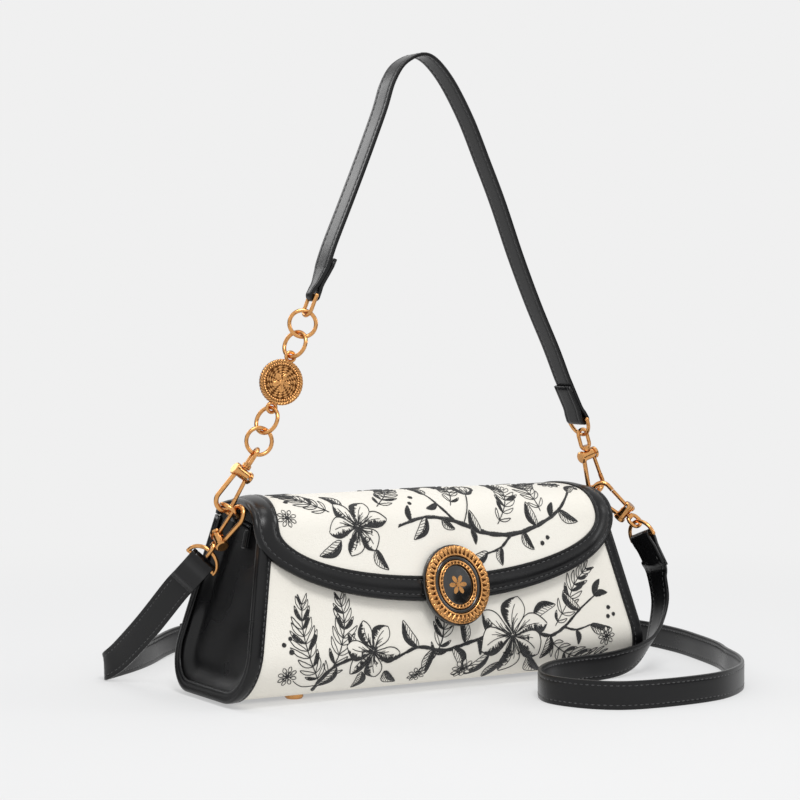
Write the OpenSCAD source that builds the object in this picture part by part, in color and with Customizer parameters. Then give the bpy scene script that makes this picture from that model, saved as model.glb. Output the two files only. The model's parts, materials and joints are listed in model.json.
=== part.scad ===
// Baguette bag with an embroidered flap, a chain and leather shoulder strap and a long strap.
// Millimetres, +Z up, +X to the bag's right as seen from the front, front face towards -Y.
// The origin is the middle of the four feet, on the floor.

/* [Bag body] */
// Length of the bag along its base
bag_length = 260; // [240:1:280]
// Depth over the front and back panels at their fullest level
belly_depth = 88; // [84:1:94]
// Rounding radius of the lower front and back corners
corner_radius = 22; // [18:1:26]
// Inward lean of the front and back panels in degrees
panel_lean = 13.5; // [12.5:0.5:14.5]
// Inward lean of each end for one mm of height
end_taper = 0.22; // [0.2:0.01:0.24]
// Height of the panel tops over the floor
panel_top = 96; // [94:1:97]
// Thickness of the covered panels
panel_thickness = 2.4; // [2:0.1:2.8]
// Depth of the hollow in each end gusset
gusset_recess = 5; // [4:0.5:6]
// Thickness of the gusset leather
gusset_thickness = 2; // [1.6:0.1:2.4]
// Width of the edge binding on the front and back faces
edge_binding_width = 6; // [5:0.5:8]
// Thickness of the edge binding
edge_binding_thickness = 1.2; // [1:0.1:1.4]

/* [Feet] */
// Height of the stud feet
feet_height = 3; // [2.5:0.5:4]
// Diameter of the stud feet
feet_diameter = 10; // [8:0.5:12]
// Distance from the middle to each pair of feet along the bag
feet_reach = 85; // [70:1:95]
// Distance from the middle to each pair of feet across the bag
feet_spread = 19; // [17:0.5:21]

/* [Flap] */
// Distance from each side of the flap to the end of the bag's base
flap_end_gap = 15; // [13:0.5:17]
// Height at which the flap is widest
flap_shoulder = 92; // [91:0.5:93]
// Drop of the flap's curved edge below its widest level
flap_drop = 42; // [36:0.5:44]
// Width of the black binding round the flap
flap_binding_width = 13.3; // [10:0.1:15]
// Height of the flap's crown over the floor
flap_crown = 107.4; // [107:0.1:109]
// Thickness of the flap's outer leather
flap_leather = 1.4; // [1.2:0.1:1.5]
// Thickness of the flap's lining
flap_lining_thickness = 0.8; // [0.6:0.1:0.9]

/* [Medallion] */
// Width of the oval medallion
medallion_width = 40; // [34:0.5:44]
// Height of the oval medallion
medallion_height = 43; // [36:0.5:46]
// Height of the medallion's middle over the floor
medallion_level = 57.4; // [55:0.1:62]
// Number of grooves round the medallion's rim
rim_grooves = 40; // [24:1:60]

/* [Side rings] */
// Bar diameter of each side ring
side_ring_wire = 2.3; // [2:0.1:2.4]
// Centre-line radius of each side ring
side_ring_radius = 5.75; // [5.7:0.05:6]

/* [Snap hooks] */
// Bar diameter of the hook bow
hook_wire = 2.6; // [2.2:0.1:2.6]
// Bar diameter of the gate
gate_wire = 2.2; // [1.8:0.1:2.3]
// Gap between the gate and the hook's nose
gate_gap = 0.2; // [0.15:0.05:0.4]
// Length of the hook's drum
drum_length = 11.6; // [10.8:0.2:12]

/* [Chain] */
// Bar diameter of the chain rings
chain_wire = 2.2; // [1.8:0.1:2.2]
// Centre-line radius of the chain rings
chain_radius = 7.2; // [7:0.05:7.3]
// Diameter of the coin charm
coin_diameter = 25; // [22:0.5:25.5]
// Thickness of the coin charm
coin_thickness = 3; // [2.4:0.1:3.6]

/* [Shoulder strap] */
// Width of both straps
strap_width = 15; // [13:0.5:15.5]
// Thickness of both straps
strap_thickness = 1.9; // [1.6:0.1:2]

/* [Hidden] */
$fn = 48;

ivory = [0.93, 0.91, 0.86];
black = [0.10, 0.10, 0.11];
bronze = [0.74, 0.47, 0.22];
cloth = [0.72, 0.66, 0.56];
steel = [0.62, 0.62, 0.64];

// Body section: two corner circles joined by leaning sides.
flap_half_width = bag_length / 2 - flap_end_gap;
corner_z = feet_height + corner_radius;
corner_y = belly_depth / 2 - corner_radius / cos(panel_lean);
base_half = corner_y - 3.4;
fit_gap = 0.1;
touch_gap = 0.3;

function side_y(z, inset = 0) =
    corner_y + (corner_radius - inset) / cos(panel_lean) - (z - corner_z) * tan(panel_lean);
function end_x(z, inset = 0) = bag_length / 2 - end_taper * z - inset;

// Flap profile in the YZ plane, from the hinge over the crown to the tip.
flap_back = panel_top + touch_gap + (flap_leather + flap_lining_thickness) * sin(panel_lean + 10);
flap_lift = 3.85;
front_slope = 0.2644;
front_len = sqrt(1 + front_slope * front_slope);
shoulder_y = -(side_y(91) + flap_lift);
function flap_front_y(z) = shoulder_y + front_slope * (z - 91);
drop_angle = atan(front_slope);
hinge_y = side_y(flap_back);

function bez(p, q, r, s, t) =
    p * pow(1 - t, 3) + q * 3 * t * pow(1 - t, 2) + r * 3 * t * t * (1 - t) + s * pow(t, 3);
profile = concat(
    [for (i = [0 : 8]) bez([hinge_y, flap_back],
        [hinge_y - 6.2 * sin(panel_lean), flap_back + 6.2 * cos(panel_lean)],
        [14, flap_crown - 0.2], [-1, flap_crown], i / 9)],
    [for (i = [0 : 12]) bez([-1, flap_crown], [-17, flap_crown + 0.2],
        [shoulder_y + 14 * front_slope / front_len, 91 + 14 / front_len],
        [shoulder_y, 91], i / 13)],
    [for (z = [91, 76, 61, 44]) [flap_front_y(z), z]]);

function unit(v) = v / norm(v);
function turn_left(v) = [-v[1], v[0]];
function heading(p, i) = unit(p[min(i + 1, len(p) - 1)] - p[max(i - 1, 0)]);
function shifted(p, d) = [for (i = [0 : len(p) - 1]) p[i] + turn_left(heading(p, i)) * d];
function backwards(p) = [for (i = [0 : len(p) - 1]) p[len(p) - 1 - i]];
function strip(p, a, b) = concat(shifted(p, a), backwards(shifted(p, b)));

// Smooth curve through the listed points.
function spline_point(a, b, c, d, t) =
    0.5 * (2 * b + (c - a) * t + (2 * a - 5 * b + 4 * c - d) * t * t
    + (3 * b - a - 3 * c + d) * t * t * t);
function spline(p, n) = concat(
    [for (i = [0 : len(p) - 2]) for (k = [0 : n - 1])
        spline_point(p[max(i - 1, 0)], p[i], p[i + 1], p[min(i + 2, len(p) - 1)], k / n)],
    [p[len(p) - 1]]);

// Side rings stand in the plane of the bag's depth, tilted up and out.
strap_y = -5;
ring_tilt = 42.5;
ring_inset = 12.65;
ring_under_crown = 6.65;
ring_centre = [bag_length / 2 - ring_inset, strap_y, flap_crown - ring_under_crown];
length_share = bag_length / 260;
ring_out = ring_centre + side_ring_radius * [cos(ring_tilt), 0, sin(ring_tilt)];
ring_in = ring_centre - side_ring_radius * [cos(ring_tilt), 0, sin(ring_tilt)];

// Hook sizes along its own axis: bow at zero, drum at drum_at.
bow_radius = 5.2;
drum_at = 22.5;
leg_foot = [3.4, 19.5];
leg_reach = [leg_foot[0], leg_foot[1] - bow_radius];
leg_turn = atan2(leg_reach[0], leg_reach[1]) + acos(bow_radius / norm(leg_reach));
leg_head = [bow_radius * sin(leg_turn), bow_radius + bow_radius * cos(leg_turn)];
leg_angle = 90 - leg_turn;
nose_at = 9;
pin_at = [3.6, 21.4];
pin_radius = 0.6;
ring_slack = 3;
eye_play = 3;
upper_reach = 12.6;
lower_reach = 8.6;

function across(axis, ref) = unit(ref - axis * (ref * axis));
left_axis = unit([0.59, 0, 0.81]);
right_axis = unit([-0.31, 0, 0.95]);
left_upper_at = [-ring_out[0], strap_y, ring_out[2]] - ring_slack * left_axis;
right_upper_at = ring_out - ring_slack * right_axis;
left_lower_at = [-ring_centre[0] + 2.31, strap_y - 10.18, ring_centre[2] + 1.63];
left_lower_axis = unit([-0.3202, 0.5744, -0.7534]);
left_lower_side = [0.0551, 0.8052, 0.5905];
right_lower_at = ring_centre + [0.68, -3.99, 4.56];
right_lower_axis = unit([0.5511, -0.5107, -0.6599]);
right_lower_side = [0.4153, -0.5181, 0.7477];

// Chain stations along its own line, upwards from the left swivel.
chain_line = unit([0.39, 0, 0.92]);
link_pitch = 2 * chain_radius - chain_wire - 0.15;
lug_reach = 14.7;
ring4_at = left_upper_at + (drum_at + upper_reach) * left_axis + chain_radius * chain_line;
ring3_at = ring4_at + link_pitch * chain_line;
coin_at = ring3_at + (chain_radius + lug_reach) * chain_line;
ring2_at = coin_at + (chain_radius + lug_reach) * chain_line;
ring1_at = ring2_at + link_pitch * chain_line;
link_low = ring1_at + (chain_radius - chain_wire - 0.15) * chain_line;
link_length = 11.6;
link_half = 4;
link_room = link_half - chain_wire / 2 * 1.14 - 0.15;
link_high = link_low + link_length * chain_line;

// D-ring: a straight bar closed by a flat arc.
d_half = 9.2;
d_rise = 9.8;
d_wire = 2.2;
d_radius = (d_half * d_half + d_rise * d_rise) / (2 * d_rise);
d_sweep = 360 - 2 * asin(d_half / d_radius);

strap_bar = right_upper_at + (drum_at + upper_reach) * right_axis + d_rise * unit([-0.36, 0, 0.93]);
left_bar_side = unit([-0.613, 0.400, 0.681]);
left_strand = unit([-0.19, 0.764, -0.62]);
left_bar = left_lower_at + (drum_at + lower_reach) * left_lower_axis
    + d_rise * across(left_bar_side, left_strand);
right_bar_side = unit([0.10, -0.93, 0.33]);
right_strand = unit([0.30, -0.09, -0.95]);
right_bar = right_lower_at + (drum_at + lower_reach) * right_lower_axis
    + d_rise * across(right_bar_side, right_strand);

// Shoulder strap route in the XZ plane, left fold to right fold.
fold_radius = 2.25;
layer_half = strap_thickness / 2 + 0.1;
function flat(v) = [v[0], v[2]];
function fold(w, g, m) = concat(
    [w + 22 * g + layer_half * m, w + 15 * g + layer_half * m, w + 8 * g + layer_half * m,
        w + 4 * g + 1.75 * m],
    [for (a = [0 : 22.5 : 180]) w + fold_radius * (cos(a) * m - sin(a) * g)],
    [w + 4 * g - 1.75 * m, w + 8 * g - layer_half * m]);
left_rise = unit([0.415, 0.91]);
right_rise = unit([-0.455, 0.89]);
// Its heights are over the middle of the side rings, which carry it.
arch_points = [[-56.8, 141.65], [-47.2, 163.45], [-36.6, 188.05], [-25.6, 214.85], [-19.8, 231.25],
    [-11.6, 242.25], [2, 246.65], [15.6, 236.25], [29.8, 214.65], [41.9, 189.45],
    [52.3, 166.75], [64.5, 136.75], [76.9, 109.25], [89.4, 84.35]];
arch = concat(
    fold(flat(link_high), left_rise, -turn_left(left_rise)),
    [flat(link_high) + 15 * left_rise + layer_half * turn_left(left_rise)],
    spline([for (p = arch_points) [p[0] * length_share, ring_centre[2] + p[1]]], 3),
    backwards(concat(fold(flat(strap_bar), right_rise, turn_left(right_rise)),
        [flat(strap_bar) + 15 * right_rise - layer_half * turn_left(right_rise),
        flat(strap_bar) + 26 * right_rise - layer_half * turn_left(right_rise)])));

// Long strap route: points with the direction of the strap's width at each.
function space_fold(w, b, g) = let (m = cross(b, g)) concat(
    [[w + 20 * g + layer_half * m, b], [w + 8 * g + layer_half * m, b],
        [w + 4 * g + 1.75 * m, b]],
    [for (a = [0 : 22.5 : 180]) [w + fold_radius * (cos(a) * m - sin(a) * g), b]],
    [[w + 4 * g - 1.75 * m, b], [w + 8 * g - layer_half * m, b],
        [w + 16 * g - layer_half * m, b]]);
floor_mid = strap_width / 2;
up = [0, 0, 1];
floor_route = [[-146, 92], [-138, 98], [-120, 112], [-102, 129], [-69, 163], [-30, 186],
    [20, 194], [80, 181], [140, 144], [180, 96], [194, 52], [193, 12], [185, -22], [176, -50],
    [166, -70], [156, -92], [143, -112], [128, -126], [109, -136.5], [88, -140.5], [62.5, -140.5],
    [44, -136.5], [31.5, -126], [24, -111], [22.5, -97], [28.5, -82], [40, -68.5],
    [56, -58], [76, -53], [92, -51.5]];
left_run = [[[-132.5, 30.5, 56], left_bar_side], [[-138.0, 54.5, 34.5], left_bar_side],
    [[-143.2, 76.5, 16.8], unit([-0.42, 0.32, 0.85])], [[-146.8, 86.5, 9.6], unit([-0.12, 0.12, 0.98])]];
right_run = [[[106, -50.5, 8.8], unit([0.02, -0.10, 0.99])], [[119, -48, 11.5], unit([-0.12, -0.42, 0.90])],
    [[132, -43, 16.7], unit([-0.22, -0.78, 0.60])], [[142.5, -35, 25], unit([-0.08, -0.93, 0.36])],
    [[149, -30.5, 39], unit([0.04, -0.97, 0.25])], [[147.8, -28.5, 54], unit([0.08, -0.95, 0.30])]];
// The strap stands a little higher where its keeper passes under it.
keeper_wall = 0.8;
keeper_room = 0.2;
keeper_lift = keeper_wall + keeper_room + 0.05;
floor_run = [for (i = [0 : len(floor_route) - 1])
    [floor_route[i][0], floor_route[i][1], floor_mid + (i == 4 || i == 5 ? keeper_lift : 0)]];
function stretched(r) = [for (p = r) [[p[0][0] * length_share, p[0][1], p[0][2]], p[1]]];
strap_run = spline(stretched(concat(left_run, [for (p = floor_run) [p, up]], right_run)), 2);
route = concat(space_fold(left_bar, left_bar_side, across(left_bar_side, left_strand)),
    strap_run, backwards(space_fold(right_bar, right_bar_side, across(right_bar_side, right_strand))));
keeper_index = 2 * (len(left_run) + 4);
keeper_ends = [strap_run[keeper_index][0], strap_run[keeper_index + 1][0]];

// Place a piece with its own X along side and its own Z along axis.
module posed(at, axis, side) {
    back = cross(axis, side);
    multmatrix([[side[0], back[0], axis[0], at[0]], [side[1], back[1], axis[1], at[1]],
        [side[2], back[2], axis[2], at[2]], [0, 0, 0, 1]]) children();
}

module rod(a, b, radius) {
    d = b - a;
    translate(a) rotate([0, acos(d[2] / norm(d)), atan2(d[1], d[0])]) cylinder(r = radius, h = norm(d));
}

module torus(radius, wire) {
    rotate_extrude() translate([radius, 0]) circle(d = wire, $fn = 24);
}

module along_length(length) {
    rotate([90, 0, 90]) translate([0, 0, -length / 2]) linear_extrude(height = length) children();
}

module across_depth(depth) {
    rotate([90, 0, 0]) translate([0, 0, -depth / 2]) linear_extrude(height = depth) children();
}

module body_section(inset = 0, top = panel_top) {
    radius = corner_radius - inset;
    for (s = [-1, 1]) translate([s * corner_y, corner_z]) circle(r = radius, $fn = 96);
    foot_y = corner_y + radius * cos(panel_lean);
    foot_z = corner_z + radius * sin(panel_lean);
    polygon([[-corner_y, corner_z - radius], [corner_y, corner_z - radius], [foot_y, foot_z],
        [side_y(top, inset), top], [-side_y(top, inset), top], [-foot_y, foot_z]]);
}

module section_ring(outer, inner, top = panel_top) {
    difference() {
        body_section(outer, top);
        body_section(inner, top + 20);
    }
}

module between_ends(inset) {
    across_depth(200) polygon([[-end_x(-10, inset), -10], [end_x(-10, inset), -10],
        [end_x(130, inset), 130], [-end_x(130, inset), 130]]);
}

module end_slab(outer, inner, side) {
    across_depth(200) polygon([[side * end_x(-10, outer), -10], [side * end_x(130, outer), 130],
        [side * end_x(130, inner), 130], [side * end_x(-10, inner), -10]]);
}

module shell() {
    intersection() {
        along_length(300) section_ring(0, panel_thickness);
        between_ends(0);
    }
}

module front_panel() {
    color(ivory) difference() {
        intersection() {
            shell();
            translate([-200, -100, 0]) cube([400, 100 - base_half, 150]);
        }
        translate([0, -side_y(lock_level), lock_level]) rotate([90 - panel_lean, 0, 0])
            translate([0, 0, -1.2]) cylinder(r = lock_radius + 1, h = 10);
    }
}

module back_panel() {
    color(ivory) intersection() {
        shell();
        translate([-200, base_half, 0]) cube([400, 100, 150]);
    }
}

module base_panel() {
    color(black) difference() {
        intersection() {
            shell();
            translate([-200, -base_half, 0]) cube([400, 2 * base_half, 50]);
        }
        for (x = [-1, 1], y = [-1, 1])
            translate([x * feet_reach, y * foot_line, -1]) cylinder(d = 3.1, h = 12);
    }
}

foot_line = min(feet_spread, base_half - 2);

module feet() {
    color(bronze) for (x = [-1, 1], y = [-1, 1]) translate([x * feet_reach, y * foot_line, 0]) {
        cylinder(d1 = feet_diameter - 1.6, d2 = feet_diameter, h = 0.9);
        translate([0, 0, 0.9]) cylinder(d = feet_diameter, h = feet_height - 0.9);
        cylinder(d = 3, h = feet_height + panel_thickness);
    }
}

module gusset(side) {
    inner = panel_thickness + fit_gap;
    color(black) {
        intersection() {
            along_length(300) body_section(inner);
            end_slab(gusset_recess, gusset_recess + gusset_thickness, side);
        }
        intersection() {
            along_length(300) section_ring(inner, inner + gusset_thickness);
            end_slab(0, gusset_recess + 0.5, side);
        }
    }
}

// The binding is skived thin at its top front, where the flap lies over it.
module gusset_binding(side) {
    t = edge_binding_thickness;
    color(black) difference() {
        union() {
            intersection() {
                along_length(300) section_ring(-t, 0);
                end_slab(-t, edge_binding_width, side);
            }
            intersection() {
                along_length(300) section_ring(-t, panel_thickness + gusset_thickness + 0.6);
                end_slab(-t, 0, side);
            }
        }
        flap_sheet(3, -flap_leather - flap_lining_thickness - touch_gap);
    }
}

module lining() {
    outer = panel_thickness + 2 * fit_gap;
    wall = 0.9;
    end_gap = gusset_recess + gusset_thickness + fit_gap;
    color(cloth) difference() {
        intersection() {
            along_length(300) body_section(outer, panel_top - 2);
            between_ends(end_gap);
        }
        intersection() {
            along_length(300) body_section(outer + wall, panel_top + 20);
            between_ends(end_gap + wall);
        }
    }
}

module base_board() {
    low = feet_height + panel_thickness + 0.9 + 3 * fit_gap;
    color(cloth) translate([-bag_length / 2 + 14, -base_half, low])
        cube([bag_length - 28, 2 * base_half, 1.8]);
}

module lock_base() {
    color(steel) translate([0, -side_y(lock_level), lock_level]) rotate([90 - panel_lean, 0, 0])
        translate([0, 0, -1.15]) difference() {
            cylinder(r = lock_radius + 0.9, h = 2.45);
            translate([0, 0, 1.6]) cylinder(r = 2.4, h = 5);
        }
}

// Flap: a bent sheet cut to the outline seen from the front and from above.
module flap_sheet(outer, inner) {
    along_length(260) polygon(strip(profile, -outer, -inner));
}

function flap_half(y) = flap_half_width - max(0, y + 31) * 0.174;

module flap_outline(inset) {
    rx = flap_half_width - inset;
    rz = flap_drop - inset;
    across_depth(140) polygon([for (i = [0 : 60])
        [rx * cos(180 + 3 * i), flap_shoulder + rz * sin(180 + 3 * i)]]);
    translate([0, 0, flap_shoulder]) linear_extrude(height = 30) polygon([
        [-rx, -70], [rx, -70], [rx, -31], [flap_half(40) - inset, 40],
        [-flap_half(40) + inset, 40], [-rx, -31]]);
}

flap_edge = 1.6;
binding_proud = 1;
lock_radius = 8;
lock_level = flap_shoulder - flap_drop + flap_edge + lock_radius + 0.4;

module on_flap(level, lift) {
    translate([0, flap_front_y(level), level]) rotate([90 - drop_angle, 0, 0])
        translate([0, 0, lift]) children();
}

module flap_panel() {
    color(ivory) difference() {
        intersection() {
            flap_sheet(0, -flap_leather);
            flap_outline(flap_edge);
        }
        on_flap(lock_level, -flap_leather - 1) cylinder(d = 3.4, h = 5);
        on_flap(lock_level, -flap_leather - 1) cylinder(r = lock_radius + 0.2, h = 1.6);
    }
}

module flap_lining() {
    color(black) difference() {
        intersection() {
            flap_sheet(-flap_leather, -flap_leather - flap_lining_thickness);
            flap_outline(flap_edge);
        }
        on_flap(lock_level, -6) cylinder(r = lock_radius + 0.2, h = 6);
    }
}

module flap_binding() {
    color(black) difference() {
        union() {
            difference() {
                intersection() {
                    flap_sheet(binding_proud, 0);
                    flap_outline(0);
                }
                flap_outline(flap_binding_width);
            }
            difference() {
                intersection() {
                    flap_sheet(0.4, -flap_leather - flap_lining_thickness);
                    flap_outline(0);
                }
                flap_outline(flap_edge);
            }
        }
        on_flap(lock_level, -2) cylinder(d = 3.4, h = 6);
    }
}

module lock_magnet() {
    color(steel) on_flap(lock_level, 0) {
        translate([0, 0, -flap_leather - flap_lining_thickness - 0.5]) cylinder(r = lock_radius, h = 1.9);
        translate([0, 0, -1]) cylinder(d = 3, h = 1 + binding_proud);
    }
}

// Medallion: stacked ovals on the flap, built up towards the front.
function oval(w, h, n) = [for (i = [0 : n - 1]) [w / 2 * cos(360 * i / n), h / 2 * sin(360 * i / n)]];
function fluted(w, h, depth, count) = [for (i = [0 : count * 6 - 1])
    let (a = 60 * i / count, grow = depth * cos(a * count) / 2)
    [(w / 2 - depth / 2 + grow) * cos(a), (h / 2 - depth / 2 + grow) * sin(a)]];

module oval_ring(w, h, wall, low, high) {
    translate([0, 0, low]) linear_extrude(height = high - low) difference() {
        polygon(oval(w, h, 96));
        polygon(oval(w - 2 * wall, h - 2 * wall, 96));
    }
}

module medallion_plate() {
    color(black) on_flap(medallion_level, binding_proud) linear_extrude(height = 2)
        polygon(oval(medallion_width - 2, medallion_height - 2, 96));
}

module medallion_frame() {
    color(bronze) on_flap(medallion_level, binding_proud + 2) linear_extrude(height = 2.2)
        difference() {
            polygon(fluted(medallion_width, medallion_height, 0.9, rim_grooves));
            polygon(oval(medallion_width - 11, medallion_height - 11, 96));
        }
}

module medallion_channel() {
    color(black) on_flap(medallion_level, binding_proud + 2) {
        linear_extrude(height = 1) difference() {
            polygon(oval(medallion_width - 11.2, medallion_height - 11.2, 96));
            polygon(oval(medallion_width - 16, medallion_height - 16, 96));
        }
    }
}

module medallion_bead_ring() {
    color(bronze) on_flap(medallion_level, binding_proud + 2) linear_extrude(height = 2)
        difference() {
            polygon(fluted(medallion_width - 16.1, medallion_height - 16.1, 0.6, 30));
            polygon(oval(medallion_width - 21, medallion_height - 21, 96));
        }
}

module medallion_dome() {
    color(black) on_flap(medallion_level, binding_proud + 2) {
        linear_extrude(height = 0.8) polygon(oval(medallion_width - 21.2, medallion_height - 21.2, 72));
        translate([0, 0, 0.8]) linear_extrude(height = 0.5)
            polygon(oval(medallion_width - 23, medallion_height - 23, 72));
    }
}

module medallion_rosette() {
    color(bronze) on_flap(medallion_level, binding_proud + 3.3) {
        cylinder(r = 1.3, h = 0.9, $fn = 24);
        for (a = [0 : 60 : 300]) rotate(a) translate([3.4, 0, 0]) linear_extrude(height = 0.5)
            polygon([for (i = [0 : 19]) [2.1 * cos(18 * i), 1.25 * sin(18 * i)]]);
    }
}

module side_ring(side) {
    color(bronze) translate([side * ring_centre[0], strap_y, ring_centre[2]])
        rotate([0, -side * ring_tilt, 0]) torus(side_ring_radius, side_ring_wire);
}

module ring_tab(side) {
    tab_width = 4.5;
    bow = side_ring_radius - sqrt(pow(side_ring_radius, 2) - pow(tab_width / 2, 2));
    bore = side_ring_wire / 2 + bow / 2 + 0.15;
    eye = [ring_in[0] + bow / 2 * cos(ring_tilt), ring_in[2] + bow / 2 * sin(ring_tilt)];
    low = end_x(80, gusset_recess) + 0.15;
    high = end_x(94, gusset_recess) + 0.15;
    tail = [[low, 80], [low + 2.4, 80], [end_x(90, gusset_recess) + 2.6, 90],
        [eye[0] + 1.9, eye[1] - 2.0], [eye[0] - 2.2, eye[1] + 1.6], [high, 94]];
    placed = [for (p = tail) [side * p[0], p[1]]];
    color(black) translate([0, strap_y, 0]) across_depth(tab_width) difference() {
        union() {
            translate([side * eye[0], eye[1]]) circle(r = bore + 1.5, $fn = 36);
            polygon(side > 0 ? placed : backwards(placed));
        }
        translate([side * eye[0], eye[1]]) circle(r = bore, $fn = 36);
    }
}

module chamfered_drum(radius, length, cut) {
    cylinder(r1 = radius - cut, r2 = radius, h = cut);
    translate([0, 0, cut]) cylinder(r = radius, h = length - 2 * cut);
    translate([0, 0, length - cut]) cylinder(r1 = radius, r2 = radius - cut, h = cut);
}

module hook() {
    cap = 2.2;
    half = drum_length / 2;
    leg_radius = hook_wire / 2 - 0.03;
    color(bronze) difference() {
        union() {
            translate([0, 0, bow_radius]) rotate([90, 0, 0]) rotate([0, 0, 180 - leg_angle])
                rotate_extrude(angle = 180 + 2 * leg_angle)
                    translate([bow_radius, 0]) circle(d = hook_wire, $fn = 24);
            rod([-leg_head[0], 0, leg_head[1]], [-leg_foot[0], 0, leg_foot[1] + 1.6], leg_radius);
            rod([leg_head[0], 0, leg_head[1]],
                [leg_head[0] - (nose_at - leg_head[1]) * tan(leg_angle), 0, nose_at], leg_radius);
            translate([0, 0, drum_at]) rotate([0, 90, 0]) rotate_extrude() polygon([
                [0, -half], [2.9, -half], [3.5, 0.6 - half], [3.5, cap - half], [2.8, cap - half],
                [2.8, half - cap], [3.5, half - cap], [3.5, half - 0.6], [2.9, half], [0, half]]);
            translate([0, 0, drum_at + 2]) cylinder(r = 1.3, h = 3);
        }
        translate([pin_at[0], 0, pin_at[1]]) rotate([90, 0, 0])
            cylinder(r = 1.75, h = 2.7, center = true);
        across_depth(2.7) polygon([[pin_at[0] - 1.75, pin_at[1]], [pin_at[0] + 1.75, pin_at[1]],
            [pin_at[0] + 2.3, 17.5], [pin_at[0] - 4.2, 17.5]]);
        translate([pin_at[0], 0, pin_at[1]]) rotate([90, 0, 0])
            cylinder(r = pin_radius + 0.02, h = 9, center = true, $fn = 24);
    }
}

module gate() {
    tip = [leg_head[0] - (nose_at - leg_head[1]) * tan(leg_angle), 0, nose_at + gate_gap];
    color(bronze) difference() {
        union() {
            rod([pin_at[0], 0, pin_at[1]], tip, gate_wire / 2);
            translate([pin_at[0], 0, pin_at[1]]) rotate([90, 0, 0])
                cylinder(r = 1.5, h = 2.3, center = true);
        }
        translate([pin_at[0], 0, pin_at[1]]) rotate([90, 0, 0])
            cylinder(r = pin_radius + 0.08, h = 4, center = true, $fn = 24);
    }
}

module gate_pin() {
    translate([pin_at[0], 0, pin_at[1]]) rotate([90, 0, 0])
        cylinder(r = pin_radius, h = 5, center = true, $fn = 24);
}

// Swivel: a collar turning on the hook's post, with a long eye at its end.
module swivel(reach, turn) {
    eye_top = reach + eye_play;
    eye_radius = 3;
    color(bronze) translate([0, 0, drum_at]) rotate([0, 0, turn]) difference() {
        union() {
            translate([0, 0, 3.2]) chamfered_drum(2.5, 2.6, 0.4);
            translate([0, 0, eye_top - eye_radius]) rotate([90, 0, 0])
                rotate_extrude(angle = 180) translate([eye_radius, 0]) circle(d = 2.2, $fn = 24);
            if (eye_top - eye_radius > 6.9) {
                for (s = [-1, 1]) translate([s * eye_radius, 0, 6.9])
                    cylinder(d = 2.2, h = eye_top - eye_radius - 6.9, $fn = 24);
            }
            translate([0, 0, min(6.9, eye_top - eye_radius)]) rotate([90, 0, 0])
                rotate([0, 0, 180]) rotate_extrude(angle = 180) translate([eye_radius, 0])
                    circle(d = 2.2, $fn = 24);
        }
        translate([0, 0, 2]) cylinder(r = 1.45, h = 3.2);
    }
}

module left_upper() { posed(left_upper_at, left_axis, across(left_axis, [1, 0, 0])) children(); }
module right_upper() { posed(right_upper_at, right_axis, across(right_axis, [1, 0, 0])) children(); }
module left_lower() {
    posed(left_lower_at, left_lower_axis, across(left_lower_axis, left_lower_side)) children();
}
module right_lower() {
    posed(right_lower_at, right_lower_axis, across(right_lower_axis, right_lower_side)) children();
}

// A chain piece whose plane holds the chain line, turned from facing the viewer.
module chain_posed(at, turn) {
    facing = unit(across(chain_line, [0.855, -0.518, 0]));
    normal = cross(chain_line, facing);
    side = facing * cos(turn) + normal * sin(turn);
    posed(at, chain_line, side) children();
}

module chain_ring(at, turn) {
    color(bronze) chain_posed(at, turn) rotate([90, 0, 0]) torus(chain_radius, chain_wire);
}

module strap_oval_link() {
    half = link_half;
    color(bronze) posed(link_low, chain_line, [0, 1, 0]) {
        for (s = [-1, 1]) translate([s * half, 0, half]) cylinder(d = chain_wire - 0.06, h = link_length - half, $fn = 24);
        translate([0, 0, half]) rotate([90, 0, 0]) rotate([0, 0, 180]) rotate_extrude(angle = 180)
            translate([half, 0]) circle(d = chain_wire, $fn = 24);
        rod([-half, 0, link_length], [half, 0, link_length], chain_wire / 2 - 0.03);
        for (s = [-1, 1]) translate([s * half, 0, link_length]) sphere(d = chain_wire * 1.14, $fn = 24);
    }
}

module coin_charm() {
    color(bronze) chain_posed(coin_at, coin_turn) rotate([90, 0, 0]) {
        translate([0, 0, -coin_thickness / 2]) difference() {
            linear_extrude(height = coin_thickness)
                polygon(fluted(coin_diameter, coin_diameter, 0.6, 40));
            translate([0, 0, coin_thickness - 0.7]) cylinder(r = coin_diameter / 2 - 2.6, h = 5);
        }
        for (s = [-1, 1]) translate([0, s * lug_reach, 0]) torus(2.5, 1.9);
    }
}

module coin_face() {
    color(bronze) chain_posed(coin_at, coin_turn) rotate([90, 0, 0])
        translate([0, 0, coin_thickness / 2 - 0.7]) {
            cylinder(r = coin_diameter / 2 - 2.7, h = 0.4);
            for (a = [0 : 45 : 315]) rotate(a) translate([3.6, 0, 0.4]) linear_extrude(height = 0.4)
                polygon([for (i = [0 : 15]) [2.2 * cos(22.5 * i), 1.0 * sin(22.5 * i)]]);
        }
}

coin_turn = 28;

module d_ring(at, bar, out) {
    color(bronze) posed(at, out, bar) {
        rod([-d_half, 0, 0], [d_half, 0, 0], d_wire / 2);
        for (s = [-1, 1]) translate([s * d_half, 0, 0]) sphere(d = d_wire * 1.14, $fn = 24);
        translate([0, 0, d_rise - d_radius]) rotate([90, 0, 0]) rotate([0, 0, 90 - d_sweep / 2])
            rotate_extrude(angle = d_sweep) translate([d_radius, 0]) circle(d = d_wire, $fn = 24);
    }
}

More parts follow.
